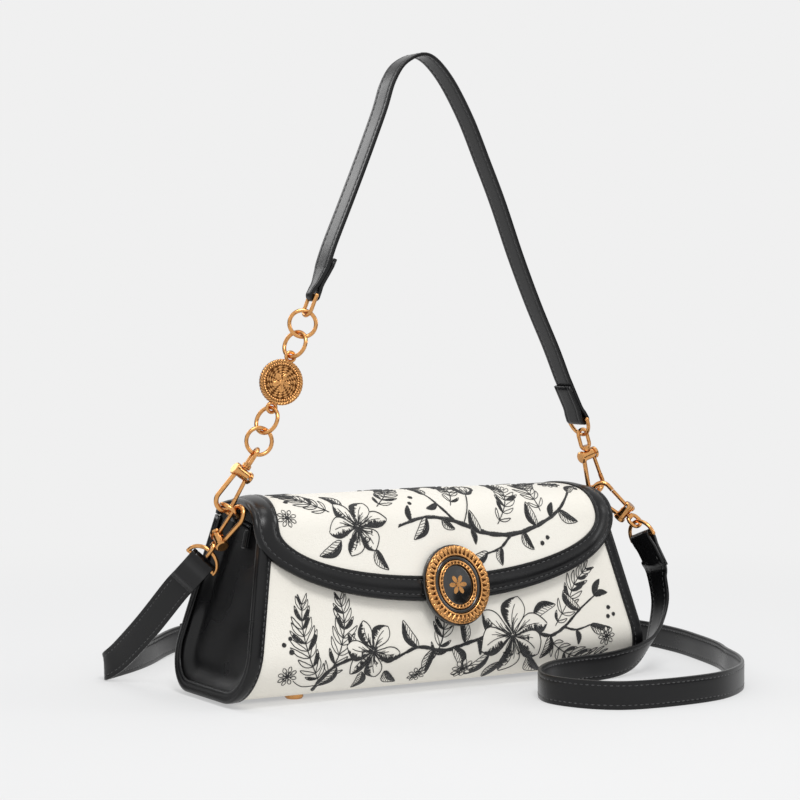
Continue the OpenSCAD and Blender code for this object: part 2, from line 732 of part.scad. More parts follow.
module shoulder_strap() {
    color(black) difference() {
        translate([0, strap_y, 0]) across_depth(strap_width)
            polygon(strip(arch, strap_thickness / 2, -strap_thickness / 2));
        for (s = [-1, 1])
            posed(link_high, [left_rise[0], 0, left_rise[1]], [0, s, 0])
                across_depth(14) polygon([[link_room, -5], [12, -5], [12, 20],
                    [strap_width / 2 + 0.01, 17], [link_room, 2.5]]);
    }
}

// A strap of constant width along a route of [point, width direction].
module ribbon(r, width, thick) {
    count = len(r);
    points = [for (i = [0 : count - 1])
        let (t = unit(r[min(i + 1, count - 1)][0] - r[max(i - 1, 0)][0]),
            b = across(t, r[i][1]), n = cross(t, b),
            c = r[i][0], w = b * width / 2, h = n * thick / 2)
        each [c - w - h, c + w - h, c + w + h, c - w + h]];
    sides = [for (i = [0 : count - 2]) for (k = [0 : 3])
        let (a = 4 * i + k, b = 4 * i + (k + 1) % 4)
        each [[a, b, b + 4], [a, b + 4, a + 4]]];
    last = 4 * (count - 1);
    polyhedron(points = points, faces = concat(sides,
        [[0, 2, 1], [0, 3, 2], [last, last + 1, last + 2], [last, last + 2, last + 3]]));
}

module long_strap() {
    color(black) ribbon(route, strap_width, strap_thickness);
}

module strap_keeper() {
    way = keeper_ends[1] - keeper_ends[0];
    color(black) translate((keeper_ends[0] + keeper_ends[1]) / 2)
        rotate([0, atan2(-way[2], norm([way[0], way[1]])), atan2(way[1], way[0])])
            difference() {
                cube([6, strap_thickness + 2 * (keeper_room + keeper_wall),
                    strap_width + 2 * (keeper_room + keeper_wall)], center = true);
                cube([8, strap_thickness + 2 * keeper_room, strap_width + 2 * keeper_room], center = true);
            }
}

front_panel();
base_panel();
back_panel();
gusset(-1);  // left_gusset
gusset(1);  // right_gusset
gusset_binding(-1);  // left_gusset_binding
gusset_binding(1);  // right_gusset_binding
lining();
base_board();
feet();
lock_base();
ring_tab(-1);  // left_ring_tab
ring_tab(1);  // right_ring_tab
side_ring(-1);  // left_side_ring
side_ring(1);  // right_side_ring
flap_panel();
flap_lining();
flap_binding();
lock_magnet();
medallion_plate();
medallion_frame();
medallion_channel();
medallion_bead_ring();
medallion_dome();
medallion_rosette();
shoulder_strap();
strap_oval_link();
chain_ring(ring1_at, 10);  // chain_ring_1
chain_ring(ring2_at, -37);  // chain_ring_2
coin_charm();
coin_face();
chain_ring(ring3_at, -37);  // chain_ring_3
chain_ring(ring4_at, 25);  // chain_ring_4
d_ring(strap_bar, [0, 1, 0], -unit([-0.36, 0, 0.93]));  // strap_d_ring
left_upper() hook();  // left_upper_hook
left_upper() swivel(upper_reach, 80);  // left_upper_swivel
left_upper() gate();  // left_upper_gate
right_upper() hook();  // right_upper_hook
right_upper() swivel(upper_reach, 0);  // right_upper_swivel
right_upper() gate();  // right_upper_gate
left_lower() hook();  // left_lower_hook
left_lower() swivel(lower_reach, 40);  // left_lower_swivel
left_lower() gate();  // left_lower_gate
right_lower() hook();  // right_lower_hook
right_lower() swivel(lower_reach, -50);  // right_lower_swivel
right_lower() gate();  // right_lower_gate
color(steel) {  // upper_gate_pins
    left_upper() gate_pin();
    right_upper() gate_pin();
}
color(steel) {  // lower_gate_pins
    left_lower() gate_pin();
    right_lower() gate_pin();
}
d_ring(left_bar, left_bar_side, -across(left_bar_side, left_strand));  // left_d_ring
d_ring(right_bar, right_bar_side, -across(right_bar_side, right_strand));  // right_d_ring
long_strap();
strap_keeper();
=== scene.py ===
"""Looks of the embroidered baguette bag, dressed round its packed construction.

Lengths inside the classes are millimetres in the construction's own frame, and each mesh is
written in metres. The bag stands on the floor, faces -Y and lies along X.
"""

import json
import logging
import math
import random
from dataclasses import dataclass, field
from enum import Enum
from typing import Callable, Sequence

import bmesh
import bpy
from mathutils import Matrix, Vector

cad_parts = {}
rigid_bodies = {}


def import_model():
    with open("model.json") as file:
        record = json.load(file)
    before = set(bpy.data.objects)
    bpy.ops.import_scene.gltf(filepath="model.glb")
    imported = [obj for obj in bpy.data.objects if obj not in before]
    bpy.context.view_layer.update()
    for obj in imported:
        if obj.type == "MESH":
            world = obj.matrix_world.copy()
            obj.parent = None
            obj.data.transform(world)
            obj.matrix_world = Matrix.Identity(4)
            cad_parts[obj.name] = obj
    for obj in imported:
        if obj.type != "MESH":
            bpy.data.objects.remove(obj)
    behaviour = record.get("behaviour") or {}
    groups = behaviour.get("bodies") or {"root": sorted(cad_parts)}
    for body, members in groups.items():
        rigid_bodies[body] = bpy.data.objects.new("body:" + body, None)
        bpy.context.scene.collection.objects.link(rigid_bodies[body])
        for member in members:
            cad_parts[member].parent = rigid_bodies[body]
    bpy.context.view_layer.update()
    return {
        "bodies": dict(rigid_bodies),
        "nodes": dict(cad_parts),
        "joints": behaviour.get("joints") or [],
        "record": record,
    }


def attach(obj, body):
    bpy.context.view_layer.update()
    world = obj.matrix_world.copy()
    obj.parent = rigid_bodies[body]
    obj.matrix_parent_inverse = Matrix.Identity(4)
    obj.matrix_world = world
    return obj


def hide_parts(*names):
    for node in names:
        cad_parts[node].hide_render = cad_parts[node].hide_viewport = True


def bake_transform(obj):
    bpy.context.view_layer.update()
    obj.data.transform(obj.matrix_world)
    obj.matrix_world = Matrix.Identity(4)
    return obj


LOG = logging.getLogger("bag")
MM = 0.001

Path = list[Vector]
Profile = Sequence[tuple[float, float]]


# --------------------------------------------------------------------------- measures


def unit(*parts: float) -> Vector:
    """Return the direction with these parts, one long."""
    return Vector(parts).normalized()


def square_to(axis: Vector, wanted: Vector) -> Vector:
    """Return the direction nearest to wanted that is square to axis."""
    return (wanted - axis * wanted.dot(axis)).normalized()


def ease(t: float) -> float:
    """Return t smoothed between nought and one."""
    t = min(max(t, 0.0), 1.0)
    return t * t * (3 - 2 * t)


def through(points: Sequence[Vector], steps: int) -> Path:
    """Lay a smooth curve through points.

    Args:
        points: The points that the curve passes, of any dimension.
        steps: The number of pieces between two points.

    Returns:
        The curve's own points.
    """
    found: Path = []
    last = len(points) - 1
    for i in range(last):
        a, b = points[max(i - 1, 0)], points[i]
        c, d = points[i + 1], points[min(i + 2, last)]
        for k in range(steps):
            t = k / steps
            found.append(0.5 * (2 * b + (c - a) * t + (2 * a - 5 * b + 4 * c - d) * t * t
                                + (3 * b - a - 3 * c + d) * t ** 3))
    return found + [points[last].copy()]


def bezier(a: Vector, b: Vector, c: Vector, d: Vector, t: float) -> Vector:
    """Return the point at t of the curve from a to d with handles b and c."""
    s = 1 - t
    return a * s ** 3 + b * 3 * t * s * s + c * 3 * t * t * s + d * t ** 3


def lengths(path: Sequence[Vector]) -> list[float]:
    """Return the distance along path at each of its points."""
    found = [0.0]
    for a, b in zip(path, path[1:]):
        found.append(found[-1] + (b - a).length)
    return found


def polar(middle: Vector, turn: float, reach: float) -> Vector:
    """Return the flat point at a distance and a direction, in degrees, from middle."""
    a = math.radians(turn)
    return middle + Vector((math.cos(a), math.sin(a))) * reach


def flat(x: float, y: float) -> Vector:
    """Return a flat point."""
    return Vector((x, y))


def beside(path: Path, i: int) -> Vector:
    """Return the direction to the left of a flat path at its point i."""
    way = path[min(i + 1, len(path) - 1)] - path[max(i - 1, 0)]
    return Vector((-way.y, way.x)).normalized()


# --------------------------------------------------------------------------- mesh making


class Surface:
    """One bmesh in millimetres that becomes a finished piece."""

    def __init__(self) -> None:
        """Start an empty mesh."""
        self.bm = bmesh.new()

    def grid(self, columns: int, rows: int, place: Callable[[float, float], Vector]) -> None:
        """Lay a grid of faces and put each corner where place says.

        Args:
            columns: The number of faces across.
            rows: The number of faces down.
            place: Gives the point for a share across, -1 to 1, and a share down, 0 to 1.
        """
        made = bmesh.ops.create_grid(self.bm, x_segments=columns, y_segments=rows, size=1.0)
        for v in made["verts"]:
            v.co = place(v.co.x, (v.co.y + 1) / 2)

    def sweep(self, count: int, stations: int, place: Callable[[int, int], Vector],
              ring: bool = True, capped: bool = True, loop: bool = False,
              recess: Callable[[int, int], float] | None = None) -> None:
        """Extrude a line of vertices from station to station.

        Args:
            count: The number of vertices in the section.
            stations: The number of sections.
            place: Gives the point for a station and a vertex of its section.
            ring: Whether the section is closed.
            capped: Whether the two ends are closed.
            loop: Whether the last station joins the first.
            recess: Gives how deep in a recess, 0 to 1, each vertex lies.
        """
        bm = self.bm
        depth = bm.verts.layers.float.get("recess") or bm.verts.layers.float.new("recess")
        tag = bm.verts.layers.int.get("order") or bm.verts.layers.int.new("order")
        verts = []
        for k in range(count):
            v = bm.verts.new(place(0, k))
            v[tag] = k
            v[depth] = recess(0, k) if recess else 0.0
            verts.append(v)
        edges = [bm.edges.new((verts[k], verts[(k + 1) % count]))
                 for k in range(count if ring else count - 1)]
        first = list(edges)
        for station in range(1, stations):
            made = bmesh.ops.extrude_edge_only(bm, edges=edges)["geom"]
            for v in (g for g in made if isinstance(g, bmesh.types.BMVert)):
                v.co = place(station, v[tag])
                v[depth] = recess(station, v[tag]) if recess else 0.0
            edges = [g for g in made if isinstance(g, bmesh.types.BMEdge)
                     and len(g.link_faces) == 1]
        if loop:
            bmesh.ops.bridge_loops(bm, edges=first + edges)
        elif capped and ring:
            bmesh.ops.edgeloop_fill(bm, edges=first)
            bmesh.ops.edgeloop_fill(bm, edges=edges)

    def outward(self) -> None:
        """Join doubled vertices and turn every face outwards."""
        bmesh.ops.remove_doubles(self.bm, verts=self.bm.verts, dist=0.0005)
        bmesh.ops.recalc_face_normals(self.bm, faces=self.bm.faces)


class Threads:
    """Threads laid on the leather, each a short round run with softened ends."""

    def __init__(self) -> None:
        """Start with no thread."""
        self.runs: list[tuple[Path, list[float]]] = []

    def run(self, points: Sequence[Vector], radius: float, ends: float = 0.45) -> None:
        """Lay one thread.

        Args:
            points: The thread's middle line.
            radius: Its radius at its fullest.
            ends: The share of that radius at its two ends.
        """
        shares = [1.0] * len(points)
        shares[0] = shares[-1] = ends
        self.runs.append((list(points), [radius * s for s in shares]))

    def seam(self, points: Sequence[Vector], normals: Sequence[Vector], stitch: float = 2.5,
             gap: float = 0.9, radius: float = 0.3) -> None:
        """Sew a row of stitches along a line.

        Args:
            points: The line that the row follows.
            normals: The surface's own direction at each of the points.
            stitch: The length of a stitch.
            gap: The space between two stitches.
            radius: The thread's radius.
        """
        far = lengths(points)
        at, index = gap, 0
        while at + stitch < far[-1]:
            places = []
            for want in (at, at + stitch * 0.3, at + stitch * 0.7, at + stitch):
                while far[index + 1] < want:
                    index += 1
                t = (want - far[index]) / max(far[index + 1] - far[index], 1e-6)
                places.append((points[index].lerp(points[index + 1], t),
                               normals[index].lerp(normals[index + 1], t)))
            dip = (-0.7, 0.1, 0.1, -0.7)
            self.run([p + n * radius * d for (p, n), d in zip(places, dip)], radius)
            at += stitch + gap

    def mesh(self, name: str) -> bpy.types.Mesh:
        """Return all the threads as one mesh."""
        curve = bpy.data.curves.new(name, "CURVE")
        curve.dimensions = "3D"
        curve.bevel_depth = MM
        curve.bevel_resolution = 0
        curve.use_fill_caps = True
        for points, radii in self.runs:
            spline = curve.splines.new("POLY")
            spline.points.add(len(points) - 1)
            for knot, point, radius in zip(spline.points, points, radii):
                knot.co = (*(point * MM), 1)
                knot.radius = radius
        holder = bpy.data.objects.new(name + "_line", curve)
        bpy.context.scene.collection.objects.link(holder)
        graph = bpy.context.evaluated_depsgraph_get()
        mesh = bpy.data.meshes.new_from_object(holder.evaluated_get(graph))
        bpy.data.objects.remove(holder)
        bpy.data.curves.remove(curve)
        mesh.materials.clear()
        return mesh


class Body(Enum):
    """The rigid bodies of the construction that pieces ride on."""

    BAG = "bag"
    FLAP = "flap"
    CARRY = "carry_strap"
    COIN = "coin"


class Slot(Enum):
    """The record's material slots."""

    IVORY = "ivory_leather"
    BLACK = "black_leather"
    BRONZE = "bronze_metal"
    ENAMEL = "black_enamel"
    LINING = "lining_fabric"
    BOARD = "stiff_board"
    STEEL = "plain_steel"


class Workshop:
    """Turns meshes into pieces that ride on the construction."""

    def __init__(self, finishes: dict[Slot, bpy.types.Material]) -> None:
        """Keep the finish of each slot."""
        self.finishes = finishes

    def piece(self, name: str, made: "Surface | Threads", slot: Slot, body: Body,
              replaces: Sequence[str] = (), finish: bpy.types.Material | None = None,
              bends: bool = False) -> bpy.types.Object:
        """Finish one piece.

        Args:
            name: The piece's name.
            made: Its mesh or threads.
            slot: The material slot that it takes its finish from.
            body: The body that it rides on.
            replaces: The construction's nodes that it stands for.
            finish: Another material than the slot's own.
            bends: Whether its transform is baked into its mesh and it rides on no body; body is
                then not used.

        Returns:
            The piece's object.
        """
        if isinstance(made, Threads):
            mesh = made.mesh(name)
        else:
            made.outward()
            bmesh.ops.scale(made.bm, vec=(MM, MM, MM), verts=made.bm.verts)
            mesh = bpy.data.meshes.new(name)
            made.bm.to_mesh(mesh)
            made.bm.free()
        mesh.materials.append(finish or self.finishes[slot])
        mesh.polygons.foreach_set("use_smooth", [True] * len(mesh.polygons))
        obj = bpy.data.objects.new(name, mesh)
        bpy.context.scene.collection.objects.link(obj)
        if bends:
            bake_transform(obj)
        else:
            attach(obj, body.value)
        if replaces:
            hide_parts(*replaces)
        LOG.info("%s: %d faces", name, len(mesh.polygons))
        return obj


# --------------------------------------------------------------------------- finishes


class Graph:
    """A material's or a group's nodes, with short calls to place and join them."""

    def __init__(self, tree: bpy.types.NodeTree) -> None:
        """Work on this node tree."""
        self.tree = tree

    def node(self, kind: str, **inputs: object) -> bpy.types.Node:
        """Place a node.

        Args:
            kind: The node's type without its ShaderNode prefix.
            inputs: Socket values or sockets to join, with spaces written as underscores, and
                the node's own settings, with a leading underscore.

        Returns:
            The node.
        """
        node = self.tree.nodes.new(kind if kind.startswith("Node") else "ShaderNode" + kind)
        for key, value in inputs.items():
            if key.startswith("_"):
                setattr(node, key[1:], value)
        self.feed(node, **{k: v for k, v in inputs.items() if not k.startswith("_")})
        return node

    def feed(self, node: bpy.types.Node, **inputs: object) -> None:
        """Join sockets to a node's inputs, or set them, with spaces written as underscores."""
        for key, value in inputs.items():
            socket = node.inputs[int(key[1:])] if key[0] == "i" and key[1:].isdigit() \
                else node.inputs[key.replace("_", " ")]
            if isinstance(value, bpy.types.NodeSocket):
                self.tree.links.new(value, socket)
            else:
                socket.default_value = value

    def maths(self, operation: str, a: object, b: object = 0.0, c: object = 0.0,
              clamp: bool = False) -> bpy.types.NodeSocket:
        """Place a Math node and return its result."""
        return self.node("Math", _operation=operation, _use_clamp=clamp, i0=a, i1=b,
                         i2=c).outputs[0]

    def ramp(self, fac: bpy.types.NodeSocket, low: object, high: object) -> bpy.types.NodeSocket:
        """Return nought below low, one above high, and a smooth share between them."""
        return self.node("MapRange", _interpolation_type="SMOOTHSTEP", Value=fac, i1=low, i2=high,
                         i3=0.0, i4=1.0).outputs[0]

    def blend(self, fac: object, a: object, b: object) -> bpy.types.NodeSocket:
        """Mix two colours and return the result."""
        return self.node("Mix", _data_type="RGBA", i0=fac, i6=a, i7=b).outputs[2]


def new_group(name: str, inputs: dict[str, float], outputs: dict[str, str]) -> tuple:
    """Start a node group.

    Args:
        name: The group's name.
        inputs: Its number inputs with their defaults.
        outputs: Its outputs with their socket types.

    Returns:
        The group, its graph, its input node and its output node.
    """
    group = bpy.data.node_groups.new(name, "ShaderNodeTree")
    for label, value in inputs.items():
        socket = group.interface.new_socket(label, in_out="INPUT", socket_type="NodeSocketFloat")
        socket.default_value = value
    for label, kind in outputs.items():
        group.interface.new_socket(label, in_out="OUTPUT", socket_type=kind)
    graph = Graph(group)
    return group, graph, graph.node("NodeGroupInput"), graph.node("NodeGroupOutput")


class Effects:
    """The node groups that more than one finish uses."""

    def __init__(self) -> None:
        """Build each group once."""
        self.grain = self._grain()
        self.patina = self._patina()

    def _grain(self) -> bpy.types.NodeTree:
        """Return the group for pressed leather grain: a height and a colour mask."""
        group, graph, given, out = new_group(
            "leather_grain", {"Pebble": 1100.0, "Crease": 90.0, "Crease Share": 0.2},
            {"Height": "NodeSocketFloat", "Shade": "NodeSocketFloat"})
        where = graph.node("TexCoord").outputs["Object"]
        cells = graph.node("TexVoronoi", _feature="SMOOTH_F1", Vector=where,
                           Scale=given.outputs["Pebble"], Smoothness=0.55, Randomness=1.0)
        noise = graph.node("TexNoise", Vector=where, Scale=given.outputs["Crease"], Detail=4.0,
                           Roughness=0.6)
        wide = graph.node("TexNoise", Vector=where, Scale=18.0, Detail=2.0)
        pebble = graph.maths("SUBTRACT", 1.0, cells.outputs["Distance"])
        height = graph.maths("MULTIPLY_ADD", noise.outputs[0], given.outputs["Crease Share"],
                             pebble)
        graph.feed(out, Height=height, Shade=graph.ramp(wide.outputs[0], 0.3, 0.7))
        return group

    def _patina(self) -> bpy.types.NodeTree:
        """Return the group for worn plating: a tarnish mask and a height."""
        group, graph, given, out = new_group(
            "worn_plating", {"Patch": 320.0, "Cover": 0.5},
            {"Tarnish": "NodeSocketFloat", "Height": "NodeSocketFloat"})
        where = graph.node("TexCoord").outputs["Object"]
        patch = graph.node("TexNoise", Vector=where, Scale=given.outputs["Patch"], Detail=5.0,
                           Roughness=0.62)
        fine = graph.node("TexNoise", Vector=where, Scale=2600.0, Detail=2.0)
        low = graph.maths("SUBTRACT", given.outputs["Cover"], 0.14)
        high = graph.maths("ADD", given.outputs["Cover"], 0.16)
        graph.feed(out, Tarnish=graph.ramp(patch.outputs[0], low, high),
                   Height=fine.outputs[0])
        return group


def fresh_material(name: str) -> tuple[bpy.types.Material, Graph, bpy.types.Node]:
    """Start a material and return it, its graph and its Principled shader."""
    material = bpy.data.materials.new(name)
    material.use_nodes = True
    graph = Graph(material.node_tree)
    return material, graph, material.node_tree.nodes["Principled BSDF"]


@dataclass(frozen=True)
class LeatherFinish:
    """A leather with pressed grain and a little change of shade."""

    name: str
    colour: tuple[float, float, float]
    shade: tuple[float, float, float]
    roughness: float
    pebble: float
    depth: float
    specular: float

    def build(self, effects: Effects) -> bpy.types.Material:
        """Return the material."""
        material, graph, shader = fresh_material(self.name)
        grain = graph.node("Group", _node_tree=effects.grain, Pebble=self.pebble)
        colour = graph.blend(grain.outputs["Shade"], (*self.colour, 1), (*self.shade, 1))
        bump = graph.node("Bump", Strength=0.6, Distance=self.depth * MM,
                          Height=grain.outputs["Height"])
        rough = graph.node("MapRange", Value=grain.outputs["Shade"], i1=0.0, i2=1.0,
                           i3=self.roughness - 0.04, i4=self.roughness + 0.05)
        graph.feed(shader, Base_Color=colour, Normal=bump.outputs[0], Roughness=rough.outputs[0],
                   Specular_IOR_Level=self.specular)
        return material


@dataclass(frozen=True)
class MetalFinish:
    """Plated metal, dark in its recesses, with painted shade where it turns from view, bright where
    it is rubbed.
    """

    name: str
    bright: tuple[float, float, float]
    dark: tuple[float, float, float]
    roughness: float
    cover: float = 0.6
    # How strongly painted shade darkens the metal where it turns from view.
    grazing_shade_share: float = 0.75

    def build(self, effects: Effects) -> bpy.types.Material:
        """Return the material."""
        material, graph, shader = fresh_material(self.name)
        worn = graph.node("Group", _node_tree=effects.patina, Cover=self.cover)
        recess = graph.node("Attribute", _attribute_name="recess").outputs["Fac"]
        # Painted shade: the colour darkens towards grazing view, standing in for dark reflections.
        facing = graph.node("LayerWeight", Blend=0.5).outputs["Facing"]
        grazing_shade = graph.maths("MULTIPLY", graph.ramp(facing, 0.35, 0.95), self.grazing_shade_share)
        patch = graph.maths("MULTIPLY", worn.outputs["Tarnish"], 0.45)
        # The dark colour takes the tarnish, the recess darkening and the painted grazing shade;
        # roughness follows the same mix.
        low = graph.maths("ADD", graph.maths("MAXIMUM", grazing_shade, patch), recess, clamp=True)
        colour = graph.blend(low, (*self.bright, 1), (*self.dark, 1))
        rough = graph.node("MapRange", Value=low, i1=0.0, i2=1.0, i3=self.roughness,
                           i4=self.roughness + 0.16)
        bump = graph.node("Bump", Strength=0.12, Distance=0.02 * MM,
                          Height=worn.outputs["Height"])
        graph.feed(shader, Base_Color=colour, Normal=bump.outputs[0], Roughness=rough.outputs[0],
                   Metallic=1.0)
        return material


@dataclass(frozen=True)
class ThreadFinish:
    """Sewing or embroidery thread with a faint twisted bump and lighter patches painted on as
    glints.
    """

    name: str
    colour: tuple[float, float, float]
    painted_glint: tuple[float, float, float]

    def build(self, effects: Effects) -> bpy.types.Material:
        """Return the material."""
        material, graph, shader = fresh_material(self.name)
        where = graph.node("TexCoord").outputs["Object"]
        twist_and_glint = graph.node("TexNoise", Vector=where, Scale=1400.0, Detail=3.0)
        # Painted highlight: noise patches take the lighter glint colour; the same noise gives the
        # real bump.
        mask = graph.ramp(twist_and_glint.outputs[0], 0.42, 0.68)
        colour = graph.blend(mask, (*self.colour, 1), (*self.painted_glint, 1))
        bump = graph.node("Bump", Strength=0.5, Distance=0.05 * MM, Height=twist_and_glint.outputs[0])
        graph.feed(shader, Base_Color=colour, Normal=bump.outputs[0], Roughness=0.55,
                   Sheen_Weight=0.2)
        return material


@dataclass(frozen=True)
class WovenFinish:
    """Plain woven lining cloth or pressed board."""

    name: str
    colour: tuple[float, float, float]
    shade: tuple[float, float, float]
    scale: float

    def build(self, effects: Effects) -> bpy.types.Material:
        """Return the material."""
        material, graph, shader = fresh_material(self.name)
        where = graph.node("TexCoord").outputs["Object"]
        bands = [graph.node("TexWave", _bands_direction=axis, Vector=where, Scale=self.scale,
                            Distortion=1.2, Detail=1.0).outputs[1] for axis in ("X", "Z")]
        weave = graph.maths("MAXIMUM", *bands)
        colour = graph.blend(weave, (*self.shade, 1), (*self.colour, 1))
        bump = graph.node("Bump", Strength=0.5, Distance=0.12 * MM, Height=weave)
        graph.feed(shader, Base_Color=colour, Normal=bump.outputs[0], Roughness=0.85)
        return material


@dataclass(frozen=True)
class EnamelFinish:
    """Smooth black enamel with a few dull spots."""

    name: str
    colour: tuple[float, float, float]

    def build(self, effects: Effects) -> bpy.types.Material:
        """Return the material."""
        material, graph, shader = fresh_material(self.name)
        worn = graph.node("Group", _node_tree=effects.patina, Patch=180.0, Cover=0.62)
        rough = graph.node("MapRange", Value=worn.outputs["Tarnish"], i1=0.0, i2=1.0, i3=0.12,
                           i4=0.32)
        colour = graph.blend(worn.outputs["Tarnish"], (*self.colour, 1), (0.03, 0.027, 0.025, 1))
        graph.feed(shader, Base_Color=colour, Roughness=rough.outputs[0], Coat_Weight=0.6,
                   Coat_Roughness=0.08)
        return material


# --------------------------------------------------------------------------- forms


@dataclass(frozen=True)
class BagForm:
    """The bag body's section and ends."""

    length: float = 260.0
    depth: float = 88.0
    radius: float = 22.0
    lean: float = math.radians(13.5)
    taper: float = 0.22
    top: float = 96.0
    board: float = 2.4
    feet: float = 3.0
    strap_y: float = -5.0
    ring_x: float = 117.35
    ring_z: float = 100.75
    ring_radius: float = 5.75
    ring_tilt: float = math.radians(42.5)

    @property
    def corner(self) -> Vector:
        """The middle of the rear lower corner, as depth and height."""
        return Vector((self.depth / 2 - self.radius / math.cos(self.lean),
                       self.feet + self.radius))

    def side(self, height: float, inset: float = 0.0) -> float:
        """Return half the depth at a height."""
        return self.corner.x + (self.radius - inset) / math.cos(self.lean) \
            - (height - self.corner.y) * math.tan(self.lean)

    def end(self, height: float, inset: float = 0.0) -> float:
        """Return half the length at a height."""
        return self.length / 2 - self.taper * height - inset

    @property
    def straight(self) -> float:
        """The length of the leaning face above the corner."""
        foot = self.corner.y + self.radius * math.sin(self.lean)
        return (self.top - foot) / math.cos(self.lean)

    @property
    def bend(self) -> float:
        """The length of the corner's curve."""
        return self.radius * (math.pi / 2 + self.lean)

    @property
    def around(self) -> float:
        """The length of the section from one top edge to the other."""
        return 2 * (self.straight + self.bend + self.corner.x)

    def section(self, run: float, lift: float = 0.0) -> tuple[Vector, Vector]:
        """Follow the section from the front's top edge, down, under and up the back.

        Args:
            run: The distance along the section.
            lift: The height over the leather, outwards.

        Returns:
            The place and the outward direction, each as depth and height.
        """
        if run > self.around / 2:
            place, out = self.section(self.around - run, lift)
            return Vector((-place.x, place.y)), Vector((-out.x, out.y))
        sin, cos = math.sin(self.lean), math.cos(self.lean)
        middle = Vector((-self.corner.x, self.corner.y))
        if run < self.straight:
            out = Vector((-cos, sin))
            base = middle + out * self.radius
            place = base + Vector((sin, cos)) * (self.straight - run)
        elif run < self.straight + self.bend:
            turn = self.lean - (run - self.straight) / self.radius
            out = Vector((-math.cos(turn), math.sin(turn)))
            place = middle + out * self.radius
        else:
            out = Vector((0.0, -1.0))
            place = Vector((-self.corner.x + run - self.straight - self.bend, self.feet))
        return place + out * lift, out


@dataclass
class FlapForm:
    """The flap as a bent sheet with a rounded outline."""

    bag: BagForm = field(default_factory=BagForm)
    half: float = 115.0
    shoulder: float = 92.0
    drop: float = 42.0
    crown: float = 107.4
    lift: float = 3.85
    slope: float = 0.2644
    leather: float = 1.4
    lining: float = 0.8
    binding: float = 13.3

    def __post_init__(self) -> None:
        """Lay the profile from the hinge over the crown and down the front."""
        self.long = math.hypot(1, self.slope)
        self.front_y = -(self.bag.side(91) + self.lift)
        low = self.bag.top + 0.3 + (self.leather + self.lining) * math.sin(math.radians(23.5))
        back = Vector((self.bag.side(low), low))
        peak = Vector((-1, self.crown))
        sin, cos = math.sin(self.bag.lean), math.cos(self.bag.lean)
        front = Vector((self.front_y, 91))
        up = Vector((self.slope, 1)) / self.long
        line = [bezier(back, back + Vector((-sin, cos)) * 6.2, Vector((14, self.crown - 0.2)),
                       peak, i / 40) for i in range(40)]
        line += [bezier(peak, Vector((-17, self.crown + 0.2)), front + up * 14, front, i / 60)
                 for i in range(60)]
        line += [front - up * self.long * k * 3 for k in range(17)]
        self.line = line
        self.far = lengths(line)
        self.shoulder_run = self.run_at(self.shoulder)
        self.crown_run = self.far[40]

    def run_at(self, height: float) -> float:
        """Return the distance from the hinge, over the crown, to a height on the front."""
        start = self.far[100]
        if height <= 91:
            return start + (91 - height) * self.long
        index = 100
        while self.line[index].y < height:
            index -= 1
        a, b = self.line[index], self.line[index + 1]
        return self.far[index] + (a.y - height) / max(a.y - b.y, 1e-9) \
            * (self.far[index + 1] - self.far[index])

    def profile(self, run: float) -> tuple[Vector, Vector]:
        """Return the place and the outward direction at a distance from the hinge."""
        index = 0
        low, high = 0, len(self.far) - 2
        while low < high:
            index = (low + high + 1) // 2
            if self.far[index] <= run:
                low = index
            else:
                high = index - 1
        index = low
        a, b = self.line[index], self.line[index + 1]
        t = (run - self.far[index]) / (self.far[index + 1] - self.far[index])
        before = self.line[max(index - 1, 0)]
        after = self.line[min(index + 2, len(self.line) - 1)]
        way = (b - before).normalized().lerp((after - a).normalized(), min(max(t, 0), 1))
        return a + (b - a) * t, Vector((way.y, -way.x)).normalized()

    def width(self, depth: float) -> float:
        """Return half the flap's width at a depth."""
        return self.half - max(0.0, min(depth, 5.0) + 31) * 0.174 + max(0.0, depth - 5) * 0.06

    def swell(self, x: float, run: float) -> float:
        """Return how far the soft leather stands over the plain form."""
        across = math.cos(min(abs(x) / self.half, 1) * math.pi / 2)
        down = math.sin(min(run / 130, 1) * math.pi)
        droop = ease((abs(x) - 94) / 18) * ease((150 - run) / 40) * ease(run / 20)
        return 0.5 * across * down + 0.22 * math.sin(x / 23 + run / 31) * across - 2.2 * droop

    def at(self, x: float, run: float, lift: float = 0.0) -> tuple[Vector, Vector]:
        """Return the place and the outward direction at a point of the flap.

        Args:
            x: The distance from the flap's middle line.
            run: The distance from the hinge.
            lift: The height over the leather.
        """
        place, out = self.profile(run)
        high = lift + self.swell(x, run)
        return (Vector((x, place.x + out.x * high, place.y + out.y * high)),
                Vector((0, out.x, out.y)))

    def edge(self, share: float, inset: float) -> tuple[float, float]:
        """Follow the outline from the left end of the hinge, down and round, to the right end.

        Args:
            share: The place along the outline, from -1 to 1.
            inset: The distance inside the outline.

        Returns:
            The distance from the middle line and from the hinge.
        """
        straight = 0.34
        if abs(share) > 1 - straight:
            run = self.shoulder_run * (1 - abs(share)) / straight
            place, _ = self.profile(run)
            return math.copysign(self.width(place.x) - inset, share), run
        turn = share / (1 - straight) * math.pi / 2
        high = self.shoulder - (self.drop - inset) * math.cos(turn)
        return (self.half - inset) * math.sin(turn), self.run_at(high)

    def cell(self, share: float, down: float, inset: float) -> tuple[float, float]:
        """Return the place of a grid corner inside the outline."""
        turn = share * math.pi / 2
        last = self.run_at(self.shoulder - (self.drop - inset) * math.cos(turn))
        run = down * last
        place, _ = self.profile(run)
        weight = ease(down)
        return ((self.width(place.x) - inset)
                * (share * (1 - weight) + math.sin(turn) * weight), run)


@dataclass(frozen=True)
class Station:
    """One place on a strap: its middle, the way of its width, and its width's share."""

    at: Vector
    wide: Vector
    share: float = 1.0


